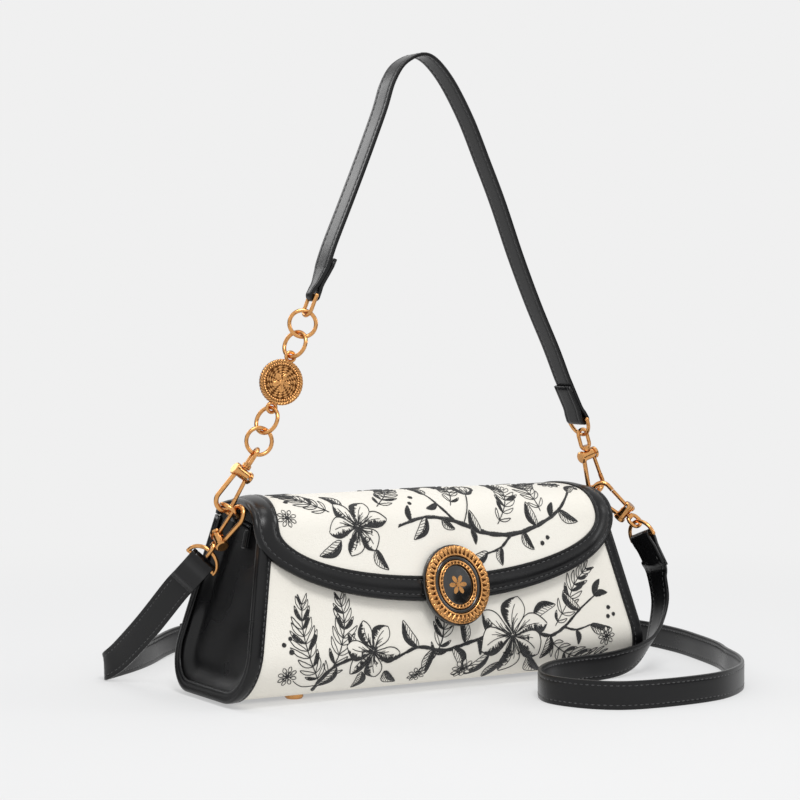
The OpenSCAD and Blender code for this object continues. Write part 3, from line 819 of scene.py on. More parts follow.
@dataclass
class Ribbon:
    """A strap of leather along a route."""

    stations: list[Station]
    width: float = 15.0
    thickness: float = 1.9

    def __post_init__(self) -> None:
        """Work out the way, the width and the face direction at each station."""
        places = [s.at for s in self.stations]
        last = len(places) - 1
        self.frames: list[tuple[Vector, Vector, Vector]] = []
        for i, station in enumerate(self.stations):
            way = (places[min(i + 1, last)] - places[max(i - 1, 0)]).normalized()
            wide = square_to(way, station.wide)
            self.frames.append((station.at, wide, way.cross(wide)))

    def outline(self) -> Profile:
        """Return the strap's section, with soft painted edges and a crease along each seam."""
        w, t, r = self.width / 2, self.thickness / 2, 0.55
        corner = [(w - r + r * math.cos(a), t - r + r * math.sin(a))
                  for a in (math.radians(d) for d in (0, 30, 60, 90))]
        quarter = corner + [(w * 0.5, t + 0.03), (w * 0.2, t + 0.03)]
        if w > 5:
            quarter = corner + [(w - 1.5, t + 0.02), (w - 1.9, t + 0.02), (w - 2.4, t - 0.16),
                                (w - 2.9, t + 0.0), (w - 3.6, t + 0.06), (w * 0.3, t + 0.08)]
        upper = quarter + [(-x, y) for x, y in reversed(quarter)]
        return upper + [(-x, -y) for x, y in upper]

    def sheet(self) -> Surface:
        """Return the strap's mesh."""
        surface = Surface()
        section = self.outline()

        def place(station: int, k: int) -> Vector:
            at, wide, face = self.frames[station]
            x, y = section[k]
            return at + wide * x * self.stations[station].share + face * y

        surface.sweep(len(section), len(self.frames), place)
        return surface

    def rows(self, threads: Threads, inset: float, first: int, last: int) -> None:
        """Sew a row of stitches near each edge.

        Args:
            threads: What the stitches are added to.
            inset: The distance of the row from the strap's edge.
            first: The station where the rows start.
            last: The station where they end.
        """
        for face_side in (1, -1):
            for side in (-1, 1):
                line, normals = [], []
                for i in range(first, last):
                    at, wide, face = self.frames[i]
                    reach = (self.width / 2 * self.stations[i].share - inset) * side
                    line.append(at + wide * reach
                                + face * (self.thickness / 2 - 0.08) * face_side)
                    normals.append(face * face_side)
                threads.seam(line, normals, stitch=2.3, gap=0.95, radius=0.26)


# --------------------------------------------------------------------------- sub-assemblies


@dataclass
class BagBody:
    """The panels, gussets, bindings and lining of the bag."""

    form: BagForm
    recess: float = 5.0
    gusset: float = 2.0
    base_half: float = 17.975

    def face_run(self, front: bool) -> tuple[float, float]:
        """Return where the front or the back panel starts and ends along the section."""
        last = self.form.straight + self.form.bend + self.form.corner.x - self.base_half
        return (0.0, last) if front else (self.form.around - last, self.form.around)

    def swell(self, x: float, run: float) -> float:
        """Return how far a panel stands out over its plain form."""
        far = min(run, self.form.around - run)
        down = math.sin(min(far / (self.form.straight + 26), 1) * math.pi)
        across = math.cos(min(abs(x) / (self.form.length / 2), 1) * math.pi / 2)
        return (0.55 * across + 0.1 * math.sin(x / 19 + far / 13)) * max(down, 0) * 0.9

    def at(self, x: float, run: float, lift: float = 0.0) -> tuple[Vector, Vector]:
        """Return the place and the outward direction at a point of the shell."""
        place, out = self.form.section(run, lift + self.swell(x, run))
        return Vector((x, *place)), Vector((0, *out))

    def panel(self, first: float, last: float) -> Surface:
        """Return a covered panel between two distances along the section."""
        surface = Surface()
        form = self.form

        def place(across: float, down: float) -> Vector:
            run = first + (last - first) * down
            spot, _ = form.section(run)
            return self.at(across * form.end(spot.y, 0.25), run)[0]

        surface.grid(96, 44, place)
        surface.bm.normal_update()
        surface.bm.faces.ensure_lookup_table()
        if surface.bm.faces[0].normal.dot(Vector((0, *form.section(first)[1]))) < 0:
            bmesh.ops.reverse_faces(surface.bm, faces=list(surface.bm.faces))
        bmesh.ops.solidify(surface.bm, geom=list(surface.bm.faces), thickness=form.board - 0.1)
        return surface

    def depth_at(self, depth: float, height: float) -> float:
        """Return how far inside the section's outline a point of the end lies."""
        form = self.form
        y = abs(depth)
        line = (form.side(height) - y) * math.cos(form.lean)
        low = height - form.feet
        if y > form.corner.x and height < form.corner.y + form.radius * math.sin(form.lean):
            low = line = form.radius - math.hypot(y - form.corner.x, height - form.corner.y)
        return min(line, low)

    def roof(self, depth: float) -> float:
        """Return the height that the end's soft top reaches under the flap."""
        cover = FlapForm(self.form)
        heights = [p.y for p in cover.line[:92]]
        depths = [p.x for p in cover.line[:92]]
        index = 0
        while index < len(depths) - 2 and depths[index + 1] > depth:
            index += 1
        a, b = depths[index], depths[index + 1]
        share = min(max((a - depth) / max(a - b, 1e-6), 0), 1)
        under = heights[index] + (heights[index + 1] - heights[index]) * share
        return max(self.form.top, under - 4.6)

    def gusset_sheet(self, side: int) -> Surface:
        """Return the hollow end of the bag, sunk between its bindings."""
        surface = Surface()
        form = self.form
        inset = form.board + 0.15
        radius = form.radius - inset
        angles = [i / 12 for i in range(13)]
        full = math.pi / 2 + form.lean
        rows = [(form.corner.y - radius * math.cos(full * a), form.corner.x + radius
                 * math.sin(full * a)) for a in angles]
        foot = rows[-1][0]
        rows += [(foot + (form.top - foot) * i / 26, form.side(foot + (form.top - foot) * i / 26,
                                                               inset)) for i in range(1, 27)]
        rows += [(form.top, form.side(form.top, inset))] * 6
        last = len(rows) - 1

        def place(across: float, up: float) -> Vector:
            index = min(int(round(up * last)), last)
            height, reach = rows[index]
            y = across * reach
            if index > last - 6:
                height += (self.roof(y) - height) * (index - last + 6) / 6
            q = self.depth_at(y, min(height, form.top)) - inset
            sink = self.recess * (0.12 + 0.88 * ease(q / 11))
            sink += 0.35 * math.sin(height / 17 + y / 14) * ease(q / 14)
            return Vector((side * form.end(height, sink), y, height))

        surface.grid(44, last, place)
        surface.bm.normal_update()
        for face in surface.bm.faces:
            if face.normal.x * side < 0:
                face.normal_flip()
        bmesh.ops.solidify(surface.bm, geom=list(surface.bm.faces), thickness=self.gusset)
        return surface

    BINDING = ((6.0, 0.02), (5.95, 0.7), (5.6, 1.05), (4.9, 1.12), (4.35, 0.86), (3.75, 1.16),
               (2.4, 1.3), (1.1, 1.26), (0.1, 1.22), (-0.75, 0.98), (-1.12, 0.45),
               (-1.2, -0.3), (-1.16, -1.6), (-1.05, -2.3), (-1.2, -3.2), (-1.05, -4.4),
               (-0.6, -4.95), (0.1, -4.95), (0.3, -2.6), (0.3, -0.15), (3.0, -0.1))

    def binding_strip(self, side: int) -> Surface:
        """Return the leather that wraps an end's edge."""
        surface = Surface()
        form = self.form
        runs = self.binding_runs()

        def place(station: int, k: int) -> Vector:
            inset, lift = self.BINDING[k]
            spot, _ = form.section(runs[station], lift)
            return Vector((side * form.end(spot.y, inset), *spot))

        surface.sweep(len(self.BINDING), len(runs), place)
        return surface

    def binding_runs(self) -> list[float]:
        """Return the stations of an end's binding along the section."""
        form = self.form
        half = [form.straight * i / 20 for i in range(20)]
        half += [form.straight + form.bend * i / 26 for i in range(26)]
        half += [form.straight + form.bend + form.corner.x * i / 5 for i in range(5)]
        return half + [form.around / 2] + [form.around - r for r in reversed(half)]

    def binding_stitches(self, threads: Threads, side: int) -> None:
        """Sew the binding's row on its front, base and back faces."""
        form = self.form
        line, normals = [], []
        for i in range(240):
            run = 1 + (form.around - 2) * i / 239
            spot, out = form.section(run, 0.95)
            line.append(Vector((side * form.end(spot.y, 4.35), *spot)))
            normals.append(Vector((0, *out)))
        threads.seam(line, normals, stitch=2.3, gap=0.9, radius=0.25)

    def lining_box(self) -> Surface:
        """Return the cloth lining that stands inside the shell."""
        surface = Surface()
        form = self.form
        outer = form.board + 0.25
        gap = self.recess + self.gusset + 0.15
        first, last = 2.5, form.around - 2.5

        def place(across: float, down: float) -> Vector:
            run = first + (last - first) * down
            spot, _ = form.section(run, -outer - 0.25 * math.sin(across * 9) ** 2)
            return Vector((across * form.end(spot.y, gap), *spot))

        surface.grid(40, 120, place)
        surface.bm.normal_update()
        for side in (-1, 1):
            rows = []
            for i in range(61):
                run = first + (last - first) / 2 * i / 60
                rows.append(form.section(run, -outer)[0])

            def end_place(across: float, up: float) -> Vector:
                spot = rows[min(int(round(up * 60)), 60)]
                return Vector((side * form.end(spot.y, gap), across * abs(spot.x), spot.y))

            surface.grid(12, 60, end_place)
        bmesh.ops.remove_doubles(surface.bm, verts=surface.bm.verts, dist=0.02)
        bmesh.ops.recalc_face_normals(surface.bm, faces=surface.bm.faces)
        bmesh.ops.solidify(surface.bm, geom=list(surface.bm.faces), thickness=0.8)
        return surface

    def ring_tab(self, side: int) -> Surface:
        """Return the leather strip that is folded round a side ring and sewn to the gusset."""
        form = self.form
        radius, half = form.ring_radius, 2.25
        bow = radius - math.sqrt(radius ** 2 - half ** 2)
        eye = Vector((form.ring_x, form.ring_z)) \
            - Vector((math.cos(form.ring_tilt), math.sin(form.ring_tilt))) * (radius - bow / 2)
        line = [Vector((form.end(z, self.recess) + out, z))
                for z, out in ((80.3, 1.9), (84, 1.95), (88, 2.0), (91, 2.5))]
        line += [polar(eye, turn, 2.28) for turn in range(-42, 215, 16)]
        line += [Vector((form.end(z, self.recess) + out, z))
                 for z, out in ((93.4, 1.7), (91, 0.95), (86, 0.8), (81, 0.8))]
        stations = [Station(Vector((side * p.x, form.strap_y, p.y)), Vector((0, 1, 0)))
                    for p in through(line, 3)]
        return Ribbon(stations, 2 * half, 1.3).sheet()

    def build(self, shop: Workshop, thread: bpy.types.Material) -> None:
        """Make and dress the bag's body."""
        front = self.panel(*self.face_run(True))
        shop.piece("front_panel_leather", front, Slot.IVORY, Body.BAG, ["front_panel"])
        back = self.panel(*self.face_run(False))
        shop.piece("back_panel_leather", back, Slot.IVORY, Body.BAG, ["back_panel"])
        last = self.face_run(True)[1]
        base = self.panel(last + 0.15, self.form.around - last - 0.15)
        shop.piece("base_panel_leather", base, Slot.BLACK, Body.BAG, ["base_panel"])
        for side, label in ((-1, "left"), (1, "right")):
            shop.piece(f"{label}_gusset_leather", self.gusset_sheet(side), Slot.BLACK, Body.BAG,
                       [f"{label}_gusset"])
            shop.piece(f"{label}_edge_binding", self.binding_strip(side), Slot.BLACK, Body.BAG,
                       [f"{label}_gusset_binding"])
            seam = Threads()
            self.binding_stitches(seam, side)
            shop.piece(f"{label}_edge_stitches", seam, Slot.BLACK, Body.BAG, finish=thread)
            shop.piece(f"{label}_ring_tab_leather", self.ring_tab(side), Slot.BLACK, Body.BAG,
                       [f"{label}_ring_tab"])
        shop.piece("lining_cloth", self.lining_box(), Slot.LINING, Body.BAG, ["lining"])


@dataclass
class Flap:
    """The flap's leather, lining and padded binding."""

    form: FlapForm

    BINDING = ((13.3, 0.0), (13.28, 0.5), (13.0, 0.86), (12.3, 1.0), (11.6, 0.95),
               (11.05, 0.66), (10.5, 0.98), (9.0, 1.42), (7.2, 1.6), (5.4, 1.5), (4.0, 1.16),
               (3.3, 0.74), (2.7, 1.02), (1.8, 1.14), (0.9, 1.0), (0.25, 0.55), (0.0, -0.2),
               (0.0, -1.3), (0.25, -2.0), (0.8, -2.3), (1.6, -2.3), (1.66, -1.2),
               (1.66, -0.06), (6.0, -0.06))

    def cover(self, lift: float, thickness: float) -> Surface:
        """Return a sheet of the flap under a height."""
        surface = Surface()

        def place(across: float, down: float) -> Vector:
            x, run = self.form.cell(across, down, 1.62)
            return self.form.at(x, run, lift)[0]

        surface.grid(120, 96, place)
        surface.bm.normal_update()
        for face in surface.bm.faces:
            if face.normal.z < 0 and face.calc_center_median().z > 100:
                bmesh.ops.reverse_faces(surface.bm, faces=list(surface.bm.faces))
                break
        bmesh.ops.solidify(surface.bm, geom=list(surface.bm.faces), thickness=thickness)
        return surface

    def strip(self) -> Surface:
        """Return the padded binding round the flap's free edge."""
        surface = Surface()
        form = self.form
        count = 320

        def place(station: int, k: int) -> Vector:
            inset, lift = self.BINDING[k]
            x, run = form.edge(-1 + 2 * station / count, inset)
            return form.at(x, run, lift)[0]

        surface.sweep(len(self.BINDING), count + 1, place)
        return surface

    def stitches(self, threads: Threads) -> None:
        """Sew the two rows of the binding."""
        for inset, lift in ((11.05, 0.72), (3.3, 0.8)):
            line, normals = [], []
            for i in range(601):
                x, run = self.form.edge(-0.995 + 1.99 * i / 600, inset)
                place, out = self.form.at(x, run, lift)
                line.append(place)
                normals.append(out)
            threads.seam(line, normals, stitch=2.6, gap=0.95, radius=0.28)

    def build(self, shop: Workshop, thread: bpy.types.Material) -> None:
        """Make and dress the flap."""
        form = self.form
        shop.piece("flap_leather", self.cover(0.0, form.leather - 0.05), Slot.IVORY, Body.FLAP,
                   ["flap_panel"], bends=True)
        shop.piece("flap_lining_leather", self.cover(-form.leather, form.lining), Slot.BLACK,
                   Body.FLAP, ["flap_lining"], bends=True)
        shop.piece("flap_edge_binding", self.strip(), Slot.BLACK, Body.FLAP, ["flap_binding"],
                   bends=True)
        seam = Threads()
        self.stitches(seam)
        shop.piece("flap_stitches", seam, Slot.BLACK, Body.FLAP, finish=thread, bends=True)


@dataclass
class Straps:
    """The shoulder strap and the long strap."""

    form: BagForm
    width: float = 15.0
    thickness: float = 1.9
    fold_radius: float = 2.25
    rise: float = 9.8
    link_room: float = 2.6

    def __post_init__(self) -> None:
        """Work out where the hooks carry the straps."""
        form, tilt = self.form, self.form.ring_tilt
        out = Vector((form.ring_x + form.ring_radius * math.cos(tilt), form.strap_y,
                      form.ring_z + form.ring_radius * math.sin(tilt)))
        left_axis, right_axis = unit(0.59, 0, 0.81), unit(-0.31, 0, 0.95)
        chain = unit(0.39, 0, 0.92)
        left_upper = Vector((-out.x, out.y, out.z)) - 3 * left_axis
        right_upper = out - 3 * right_axis
        link, lug, slack = 7.2, 14.7, 2.2 + 0.15
        pitch = 2 * link - slack
        ring4 = left_upper + 35.1 * left_axis + link * chain
        ring1 = ring4 + (2 * pitch + 2 * (link + lug)) * chain
        self.chain = chain
        self.coin = ring4 + (pitch + link + lug) * chain
        self.link_low = ring1 + (link - slack) * chain
        self.link_high = self.link_low + 11.6 * chain
        self.strap_bar = right_upper + 35.1 * right_axis + self.rise * unit(-0.36, 0, 0.93)
        self.left_wide = unit(-0.613, 0.400, 0.681)
        self.left_way = square_to(self.left_wide, unit(-0.19, 0.764, -0.62))
        self.left_bar = Vector((-115.04, -15.18, 102.38)) \
            + 31.1 * unit(-0.3202, 0.5744, -0.7534) + self.rise * self.left_way
        self.right_wide = unit(0.10, -0.93, 0.33)
        self.right_way = square_to(self.right_wide, unit(0.30, -0.09, -0.95))
        self.right_bar = Vector((118.03, -8.99, 105.31)) \
            + 31.1 * unit(0.5511, -0.5107, -0.6599) + self.rise * self.right_way

    def fold(self, bar: Vector, wide: Vector, way: Vector, tail: Vector, length: float,
             strand: Sequence[float],
             share: Callable[[float], float] = lambda d: 1.0) -> list[Station]:
        """Fold a strap round a bar.

        Args:
            bar: The middle of the bar.
            wide: The way of the strap's width.
            way: The way that the strap leaves the bar.
            tail: The side of the strap that the short end lies on.
            length: The length of the short end.
            strand: The distances from the bar at which the long end has a station.
            share: Gives the width's share at a distance from the bar.

        Returns:
            The stations from the short end round the bar to the long end.
        """
        half = self.thickness / 2 + 0.1
        found = [Station(bar + way * d + tail * half, wide, share(d))
                 for d in (length, length * 0.8, length * 0.6, 8)]
        found.append(Station(bar + way * 5.6 + tail * 1.3, wide, share(5.6)))
        found.append(Station(bar + way * 3.6 + tail * 1.85, wide, share(3.6)))
        for i in range(17):
            a = math.pi * i / 16
            found.append(Station(bar + self.fold_radius * (math.cos(a) * tail - math.sin(a) * way),
                                 wide, share(0)))
        found.append(Station(bar + way * 3.6 - tail * 1.85, wide, share(3.6)))
        found.append(Station(bar + way * 5.6 - tail * 1.3, wide, share(5.6)))
        return found + [Station(bar + way * d - tail * half, wide, share(d)) for d in strand]

    ARCH = ((-56.8, 242.4), (-47.2, 264.2), (-36.6, 288.8), (-25.6, 315.6), (-19.8, 332.0),
            (-11.6, 343.0), (2.0, 347.4), (15.6, 337.0), (29.8, 315.4), (41.9, 290.2),
            (52.3, 267.5), (64.5, 237.5), (76.9, 210.0), (89.4, 185.1))

    def shoulder(self) -> Ribbon:
        """Return the shoulder strap, from the oval link over its arch to the right D-ring."""
        wide = Vector((0, 1, 0))
        y = self.form.strap_y
        rise, fall = unit(0.415, 0, 0.91), unit(-0.455, 0, 0.89)

        def narrow(d: float) -> float:
            low = self.link_room / self.width * 2
            return low + (1 - low) * min(max((d - 2.5) / 14.5, 0), 1)

        left_tail = Vector((rise.z, 0, -rise.x))
        right_tail = Vector((-fall.z, 0, fall.x))
        start = self.fold(self.link_high, wide, rise, left_tail, 22, (8, 11, 15), narrow)
        stop = self.fold(self.strap_bar, wide, fall, right_tail, 22, (8, 15, 26))
        points = [start[-2].at, start[-1].at] + [Vector((x, y, z)) for x, z in self.ARCH] \
            + [stop[-1].at, stop[-2].at]
        curve = through(points, 8)[8:-8]
        mid = [Station(p, wide, narrow((p - self.link_high).length)) for p in curve[1:-1]]
        return Ribbon(start + mid + list(reversed(stop)), self.width, self.thickness)

    FLOOR = ((-146, 92), (-138, 98), (-120, 112), (-102, 129), (-69, 163), (-30, 186), (20, 194),
             (80, 181), (140, 144), (180, 96), (194, 52), (193, 12), (185, -22), (176, -50),
             (166, -70), (156, -92), (143, -112), (128, -126), (109, -136.5), (88, -140.5),
             (62.5, -140.5), (44, -136.5), (31.5, -126), (24, -111), (22.5, -97), (28.5, -82),
             (40, -68.5), (56, -58), (76, -53), (92, -51.5))
    LEFT_RUN = (((-132.5, 30.5, 56), None), ((-138.0, 54.5, 34.5), None),
                ((-143.2, 76.5, 16.8), (-0.42, 0.32, 0.85)),
                ((-146.8, 86.5, 9.6), (-0.12, 0.12, 0.98)))
    RIGHT_RUN = (((106, -50.5, 8.8), (0.02, -0.10, 0.99)), ((119, -48, 11.5), (-0.12, -0.42, 0.90)),
                 ((132, -43, 16.7), (-0.22, -0.78, 0.60)),
                 ((142.5, -35, 25), (-0.08, -0.93, 0.36)), ((149, -30.5, 39), (0.04, -0.97, 0.25)),
                 ((147.8, -28.5, 54), (0.08, -0.95, 0.30)))

    def long(self) -> Ribbon:
        """Return the long strap, from the left D-ring over the floor to the right one."""
        level = self.width / 2
        left_tail = self.left_wide.cross(self.left_way)
        right_tail = self.right_wide.cross(self.right_way)
        start = self.fold(self.left_bar, self.left_wide, self.left_way, left_tail, 20,
                          (8, 12, 16))
        stop = self.fold(self.right_bar, self.right_wide, self.right_way, right_tail, 20,
                         (8, 12, 16))
        knots = [(start[-1].at, self.left_wide)]
        knots += [(Vector(p), Vector(w).normalized() if w else self.left_wide)
                  for p, w in self.LEFT_RUN]
        knots += [(Vector((x, y, level + (1.05 if i in (4, 5) else 0))), Vector((0, 0, 1)))
                  for i, (x, y) in enumerate(self.FLOOR)]
        knots += [(Vector(p), Vector(w).normalized()) for p, w in self.RIGHT_RUN]
        knots += [(stop[-1].at, self.right_wide)]
        places = through([k[0] for k in knots], 6)
        wides = through([k[1] for k in knots], 6)
        self.keeper_ends = (places[54], places[57])
        mid = [Station(p, w.normalized()) for p, w in zip(places[1:-1], wides[1:-1])]
        return Ribbon(start + mid + list(reversed(stop)), self.width, self.thickness)

    def keeper(self) -> Surface:
        """Return the loop of leather that holds the long strap's layers."""
        surface = Surface()
        first, last = self.keeper_ends
        way = (last - first).normalized()
        across = Vector((0, 0, 1)).cross(way).normalized()
        turn = Matrix((way, across, way.cross(across))).transposed()
        middle = first.lerp(last, 0.5)
        outer = (self.thickness / 2 + 1.0, self.width / 2 + 1.0)
        inner = (self.thickness / 2 + 0.2, self.width / 2 + 0.2)
        ring = []
        for (w, h), r in ((outer, 0.9), (inner, 0.3)):
            loop = []
            for sx, sz, start in ((1, 1, 0), (-1, 1, 90), (-1, -1, 180), (1, -1, 270)):
                for d in (0, 30, 60, 90):
                    a = math.radians(start + d)
                    loop.append(((w - r) * sx + r * math.cos(a), (h - r) * sz + r * math.sin(a)))
            ring.append(loop)
        edge = ((0, -3.0, 0.25), (0, -2.6, 0.0), (0, 2.6, 0.0), (0, 3.0, 0.25), (1, 3.0, 0.0),
                (1, -3.0, 0.0))

        def place(station: int, k: int) -> Vector:
            which, along, pull = edge[k]
            across, high = ring[which][station % 16]
            flat = Vector((along, across * (1 - pull * 0.1), high * (1 - pull * 0.03)))
            return middle + turn @ flat

        surface.sweep(len(edge), 16, place, loop=True)
        return surface

    def build(self, shop: Workshop, thread: bpy.types.Material) -> None:
        """Make and dress the straps."""
        for name, ribbon, body in (("shoulder_strap", self.shoulder(), Body.CARRY),
                                   ("long_strap", self.long(), Body.BAG)):
            shop.piece(f"{name}_leather", ribbon.sheet(), Slot.BLACK, body, [name])
            seam = Threads()
            ribbon.rows(seam, 2.4, 26, len(ribbon.frames) - 26)
            shop.piece(f"{name}_stitches", seam, Slot.BLACK, body, finish=thread)
        shop.piece("keeper_leather", self.keeper(), Slot.BLACK, Body.BAG, ["strap_keeper"])


# --------------------------------------------------------------------------- embroidery


@dataclass
class Stroke:
    """One thread on the flat pattern."""

    points: Path
    radius: float
    bulge: float = 0.0


def inside(point: Vector, outline: Path) -> bool:
    """Return whether a flat point lies inside a closed outline."""
    found = False
    for a, b in zip(outline, outline[1:] + outline[:1]):
        if (a.y > point.y) != (b.y > point.y) and \
                point.x < a.x + (point.y - a.y) * (b.x - a.x) / (b.y - a.y):
            found = not found
    return found


class Needle:
    """Draws threads on a flat pattern in millimetres; a later shape hides earlier ones."""

    def __init__(self, seed: int) -> None:
        """Start an empty pattern, with the hand's own unevenness from seed."""
        self.strokes: list[Stroke] = []
        self.rng = random.Random(seed)

    def lay(self, points: Path, radius: float, bulge: float = 0.0) -> None:
        """Sew one thread, its middle raised by bulge."""
        self.strokes.append(Stroke(points, radius, bulge))

    def sew(self, surface: Callable[[float, float, float], Vector]) -> Threads:
        """Lay the whole pattern on a surface."""
        threads = Threads()
        for s in self.strokes:
            last = max(len(s.points) - 1, 1)
            threads.run([surface(p.x, p.y, s.radius * 0.35
                                 + s.bulge * math.sin(math.pi * i / last))
                         for i, p in enumerate(s.points)], s.radius, 0.55)
        return threads

    def clear(self, outline: Path) -> None:
        """Unpick what lies inside an outline."""
        low_x, high_x = min(p.x for p in outline), max(p.x for p in outline)
        low_y, high_y = min(p.y for p in outline), max(p.y for p in outline)
        kept: list[Stroke] = []
        for s in self.strokes:
            near = [low_x < p.x < high_x and low_y < p.y < high_y for p in s.points]
            if not any(near):
                kept.append(s)
                continue
            hidden = [n and inside(p, outline) for n, p in zip(near, s.points)]
            run: Path = []
            for i, p in enumerate(s.points):
                if i and hidden[i] != hidden[i - 1]:
                    a, b = s.points[i - 1], p
                    for _ in range(5):
                        mid = a.lerp(b, 0.5)
                        if inside(mid, outline) == hidden[i - 1]:
                            a = mid
                        else:
                            b = mid
                    run.append(a)
                if hidden[i]:
                    if len(run) > 1:
                        kept.append(Stroke(run, s.radius, s.bulge))
                    run = []
                else:
                    run.append(p)
            if len(run) > 1:
                kept.append(Stroke(run, s.radius, s.bulge))
        self.strokes = kept

    def line(self, points: Sequence[Vector], weight: float = 0.27) -> None:
        """Sew an outline through flat points, a little uneven in its way and its weight."""
        path = through(points, 6)
        far = lengths(path)
        at, index = 0.0, 0
        run: Path = []
        while at < far[-1]:
            while index < len(far) - 2 and far[index + 1] < at:
                index += 1
            t = (at - far[index]) / max(far[index + 1] - far[index], 1e-6)
            run.append(path[index].lerp(path[index + 1], t)
                       + Vector((self.rng.uniform(-0.07, 0.07), self.rng.uniform(-0.07, 0.07))))
            at += 0.9
        run.append(path[-1].copy())
        if len(run) > 1:
            self.lay(run, weight * self.rng.uniform(0.88, 1.1))

    def satin(self, edge: Path, inner: Path, weight: float = 0.27, step: float = 0.4,
              rag: float = 0.3) -> None:
        """Fill from one edge inwards with threads side by side, ragged at their inner ends.

        Args:
            edge: The edge that the threads start on.
            inner: How far they reach, with as many points.
            weight: The thread's radius.
            step: The distance between two threads.
            rag: How unevenly they end, as a share of their length.
        """
        far = lengths([a.lerp(b, 0.35) for a, b in zip(edge, inner)])
        at, index = 0.0, 0
        while at < far[-1]:
            while far[index + 1] < at:
                index += 1
            t = (at - far[index]) / max(far[index + 1] - far[index], 1e-6)
            a = edge[index].lerp(edge[index + 1], t)
            b = a.lerp(inner[index].lerp(inner[index + 1], t),
                       1 + self.rng.uniform(-rag, rag * 0.6))
            if (b - a).length > 0.5:
                self.lay([a, a.lerp(b, 0.5), b], weight, min(0.15, (b - a).length * 0.05))
            at += step * self.rng.uniform(0.85, 1.15)

    def band(self, spine: Sequence[Vector], widths: Sequence[float], slant: float = 0.7) -> None:
        """Fill a stem of changing width with slanted threads."""
        path = through(spine, 10)
        left, right = [], []
        for i, p in enumerate(path):
            share = i / (len(path) - 1) * (len(widths) - 1)
            k = min(int(share), len(widths) - 2)
            half = (widths[k] + (widths[k + 1] - widths[k]) * (share - k)) / 2
            half *= 1 + 0.16 * math.sin(i * 1.1) + self.rng.uniform(-0.06, 0.06)
            side = beside(path, i)
            way = Vector((side.y, -side.x))
            left.append(p + side * half + way * half * slant)
            right.append(p - side * half - way * half * slant)
        self.satin(left, right, 0.28, 0.4, 0.08)

    def lens(self, root: Vector, tip: Vector, width: float, bend: float,
             fullest: float = 0.5) -> tuple[Path, Path, Path]:
        """Return the left edge, the middle and the right edge of a leaf or petal."""
        way = tip - root
        across = Vector((-way.y, way.x)).normalized()
        left, middle, right = [], [], []
        for t in (0, 0.12, 0.28, 0.45, 0.62, 0.78, 0.91, 1):
            mid = root + way * t + across * bend * math.sin(math.pi * t)
            power = math.log(0.5) / math.log(fullest)
            half = width / 2 * math.sin(math.pi * t ** power) ** 0.8 if 0 < t < 1 else 0.0
            left.append(mid + across * half)
            middle.append(mid)
            right.append(mid - across * half)
        return left, middle, right

    def leaf(self, root: Vector, turn: float, length: float, width: float, bend: float = 1.5,
             fill: float = 1.0) -> None:
        """Sew a pointed leaf over what lies there: outline, vein, side veins, one dark half."""
        left, middle, right = self.lens(root, polar(root, turn, length), width, bend, 0.42)
        edge, vein, far_edge = through(left, 4), through(middle, 4), through(right, 4)
        self.clear(edge + far_edge[::-1])
        self.line(left)
        self.line(right)
        self.line(middle[:7], 0.25)
        if fill > 0:
            reach = [a.lerp(b, min(1.0, fill)) for a, b in zip(edge, vein)]
            self.satin(edge[2:-2], reach[1:-3], 0.27, 0.4, 0.22)
        for k in range(3, len(vein) - 8, 3):
            tip = far_edge[min(k + 5, len(vein) - 1)]
            self.line([vein[k], vein[k].lerp(tip, 0.5), vein[k].lerp(tip, 0.82)], 0.2)

    def dark_leaf(self, root: Vector, turn: float, length: float, width: float,
                  bend: float = 1.0) -> None:
        """Sew a small leaf that is filled all over."""
        left, _, right = self.lens(root, polar(root, turn, length), width, bend, 0.45)
        self.clear(through(left, 3) + through(right, 3)[::-1])
        self.satin(through(left, 3), through(right, 3), 0.27, 0.38, 0.05)

    def frond(self, spine: Sequence[Vector], leaflets: int, reach: float, spread: float = 46,
              dark: float = 0.25) -> None:
        """Sew a fern: a stem with slender open leaflets on both sides."""
        path = through(spine, 12)
        self.line(spine, 0.34)
        for k in range(leaflets):
            share = 0.1 + 0.88 * k / (leaflets - 1)
            i = min(int(share * (len(path) - 1)), len(path) - 2)
            way = (path[i + 1] - path[i]).normalized()
            turn = math.degrees(math.atan2(way.y, way.x))
            size = reach * (0.5 + 0.65 * math.sin(math.pi * min(share * 0.85 + 0.1, 1)))
            for sign in (-1, 1):
                lean = turn + sign * spread * (1 - 0.4 * share) + self.rng.uniform(-7, 7)
                tip = polar(path[i], lean, size * self.rng.uniform(0.85, 1.1))
                left, _, right = self.lens(path[i], tip, size * 0.21, sign * size * 0.08)
                self.line(left[::2] + [left[-1]], 0.25)
                self.line(right[::2] + [right[-1]], 0.25)
                if self.rng.random() < dark:
                    self.satin(through(left[1:6], 2), through(right[1:6], 2), 0.25, 0.42, 0.1)

